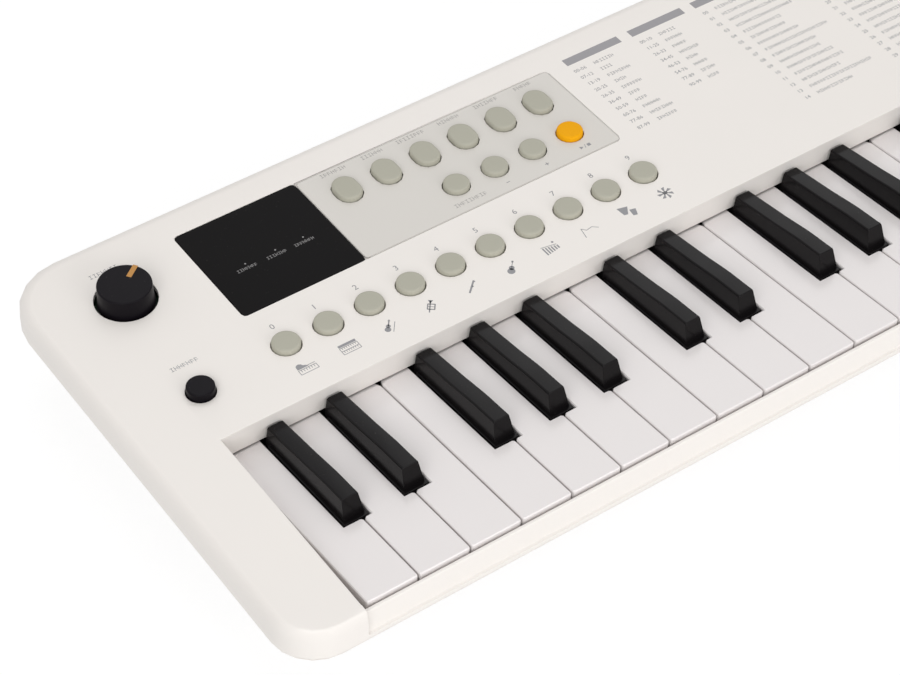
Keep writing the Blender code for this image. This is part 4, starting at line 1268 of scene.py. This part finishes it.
xylophone = [
    *[stroke(x, bottom, x, top, 0.5) for x, bottom, top in bars],
    stroke(-2.5, 1.7, 2.4, 0.7, FINE),
    disc(1.9, 2.0, 0.4, 10),
]
envelope = polyline([(-2.9, -2.3), (-2.1, 1.7), (-0.9, 0.3), (1.3, 0.7), (3.0, -0.7)], FINE)
drums = [
    [(-2.6, 1.8), (-1.5, -1.2), (-0.3, -1.2), (0.6, 1.8)],
    [(0.6, 0.4), (0.9, -2.1), (2.2, -2.1), (2.5, 0.4)],
]
burst = [rectangle(-0.7, -0.5, 0.7, 0.6)]
for turn in [math.radians(25 + 51.4 * k) for k in range(7)]:
    burst.append([(0.0, 0.0), around(2.5, turn - 0.24), around(2.1, turn + 0.2)])
print("rays of the burst:", len(burst) - 1)

# %% Symbols on the panel
# Drawing, size and turn in degrees, from the first button to the tenth.
SYMBOLS = (
    (piano, 1.12, 0.0),
    (organ, 1.12, 0.0),
    (violin, 1.15, -38.0),
    (trumpet, 1.15, -38.0),
    (flute, 1.15, -30.0),
    (guitar, 1.2, -40.0),
    (xylophone, 1.2, 0.0),
    (envelope, 1.15, 0.0),
    (drums, 1.3, -15.0),
    (burst, 1.3, 0.0),
)
symbol_outlines = []
for index, (shapes, size, turn) in enumerate(SYMBOLS):
    across, along = around(size, math.radians(turn))
    middle_x = SYMBOL_X + NUMBER_PITCH * index
    for outline in shapes:
        symbol_outlines.append(
            [
                (middle_x + x * across - y * along, SYMBOL_MIDDLE_Y + x * along + y * across)
                for x, y in outline
            ]
        )
printed("voice_symbols", symbol_outlines, *PANEL_INK, panel_ink)
print("symbol shapes:", len(symbol_outlines))

# %% [markdown]
# ## Underside and back
#
# The photograph doesn't show these sides, but the object is seen from all of them. Six cross-
# head screws sit in the counterbores, four rubber feet have a ringed sole, the battery door has
# a small arrow, and the two sockets in the back wall have their contacts. A second small tree
# puts one screw on each given point.

# %% Screws
SCREW_ROWS = ((121.0, (26.0, 215.0, 432.0)), (183.0, (26.0, 310.0, 432.0)))
base_z = layout_box("lower_case")[0].z
SCREW_TOP, SCREW_RADIUS = base_z + 1.95, 2.5
CROSS_LENGTH, CROSS_WIDTH = 3.0, 0.6
CROSS_LOW, CROSS_HIGH = SCREW_TOP - 3.0, SCREW_TOP - 0.8

place_tree, place_in = geometry_tree(
    "piece_places", [("Piece", OBJECT), ("Places", OBJECT), ("Material", MATERIAL)]
)
placing = {
    "Points": geometry_of(place_tree, place_in["Places"]),
    "Instance": geometry_of(place_tree, place_in["Piece"]),
}
placed = add(place_tree, "GeometryNodeInstanceOnPoints", placing)
finish_tree(place_tree, placed.outputs[0], place_in["Material"])

screw_profile = [
    (SCREW_RADIUS - 0.7, SCREW_TOP - 1.5),
    (SCREW_RADIUS - 0.15, SCREW_TOP - 1.1),
    (SCREW_RADIUS, SCREW_TOP),
]
screw = lathe("case_screw", 0.0, 0.0, screw_profile, 24)
for wide, deep in ((CROSS_LENGTH, CROSS_WIDTH), (CROSS_WIDTH, CROSS_LENGTH)):
    low, high = (-wide / 2, -deep / 2, CROSS_LOW), (wide / 2, deep / 2, CROSS_HIGH)
    cutter = block("screw_cross", low, high)
    cut = screw.modifiers.new("cross", "BOOLEAN")
    cut.object = cutter
    cut.solver = "EXACT"
    applied(screw)
    remove(cutter)
screw_places = [(x * MM, y * MM, 0.0) for y, row_places in SCREW_ROWS for x in row_places]
places_mesh = bpy.data.meshes.new("screw_places")
places_mesh.from_pydata(screw_places, [], [])
places = new_object("screw_places", places_mesh)
steel = finishes["plated_steel"]
screws = grown("case_screws", place_tree, {"Piece": screw, "Places": places, "Material": steel})
remove(screw, places)
keep(screws, "case", "plated_steel")
print("screws:", len(screw_places))

# %% Feet
SOLE_GROOVE = 0.35
for node in [name for name in sorted(frame["nodes"]) if name.startswith("foot_")]:
    foot_x, foot_y, foot_low, foot_high = centre_of(node)
    foot_radius = 0.5 * (foot_high.x - foot_low.x)
    sole = foot_low.z
    foot_profile = [
        (1.2, sole + SOLE_GROOVE),
        (1.5, sole),
        (2.7, sole),
        (3.0, sole + SOLE_GROOVE),
        (3.7, sole + SOLE_GROOVE),
        (4.0, sole),
        (foot_radius - 0.6, sole),
        (foot_radius - 0.15, sole + 0.25),
        (foot_radius, sole + 0.7),
        (foot_radius, foot_high.z),
    ]
    stand_in(lathe(f"{node}_rubber", foot_x, foot_y, foot_profile, 48), node)
print("feet dressed")

# %% Door arrow and sockets
ARROW = [(217.0, 160.0), (223.0, 160.0), (220.0, 165.0)]
ARROW_LOW, ARROW_HIGH = base_z - 0.03, base_z + 0.02
CONTACT_LOW, CONTACT_HIGH = (397.6, 184.0, -28.0), (403.8, 189.4, -27.3)
JACK_X, JACK_Z = 414.0, -27.4
JACK_PROFILE = ((1.74, 184.0), (1.74, 190.6), (1.4, 190.8), (1.3, 190.6), (1.3, 185.0))
printed("door_arrow", [ARROW], ARROW_LOW, ARROW_HIGH, panel_ink, body_of("battery_door"))
contact = block("usb_contact", CONTACT_LOW, CONTACT_HIGH)
keep(painted(contact, finishes["grey_plastic"]), "case", "grey_plastic")
jack_rings = [
    [(JACK_X + r * math.sin(t), y, JACK_Z + r * math.cos(t)) for t in full_turn(32)]
    for r, y in JACK_PROFILE
]
keep(painted(loop_solid("jack_ring", jack_rings), steel), "case", "plated_steel")
print("door arrow and sockets made")
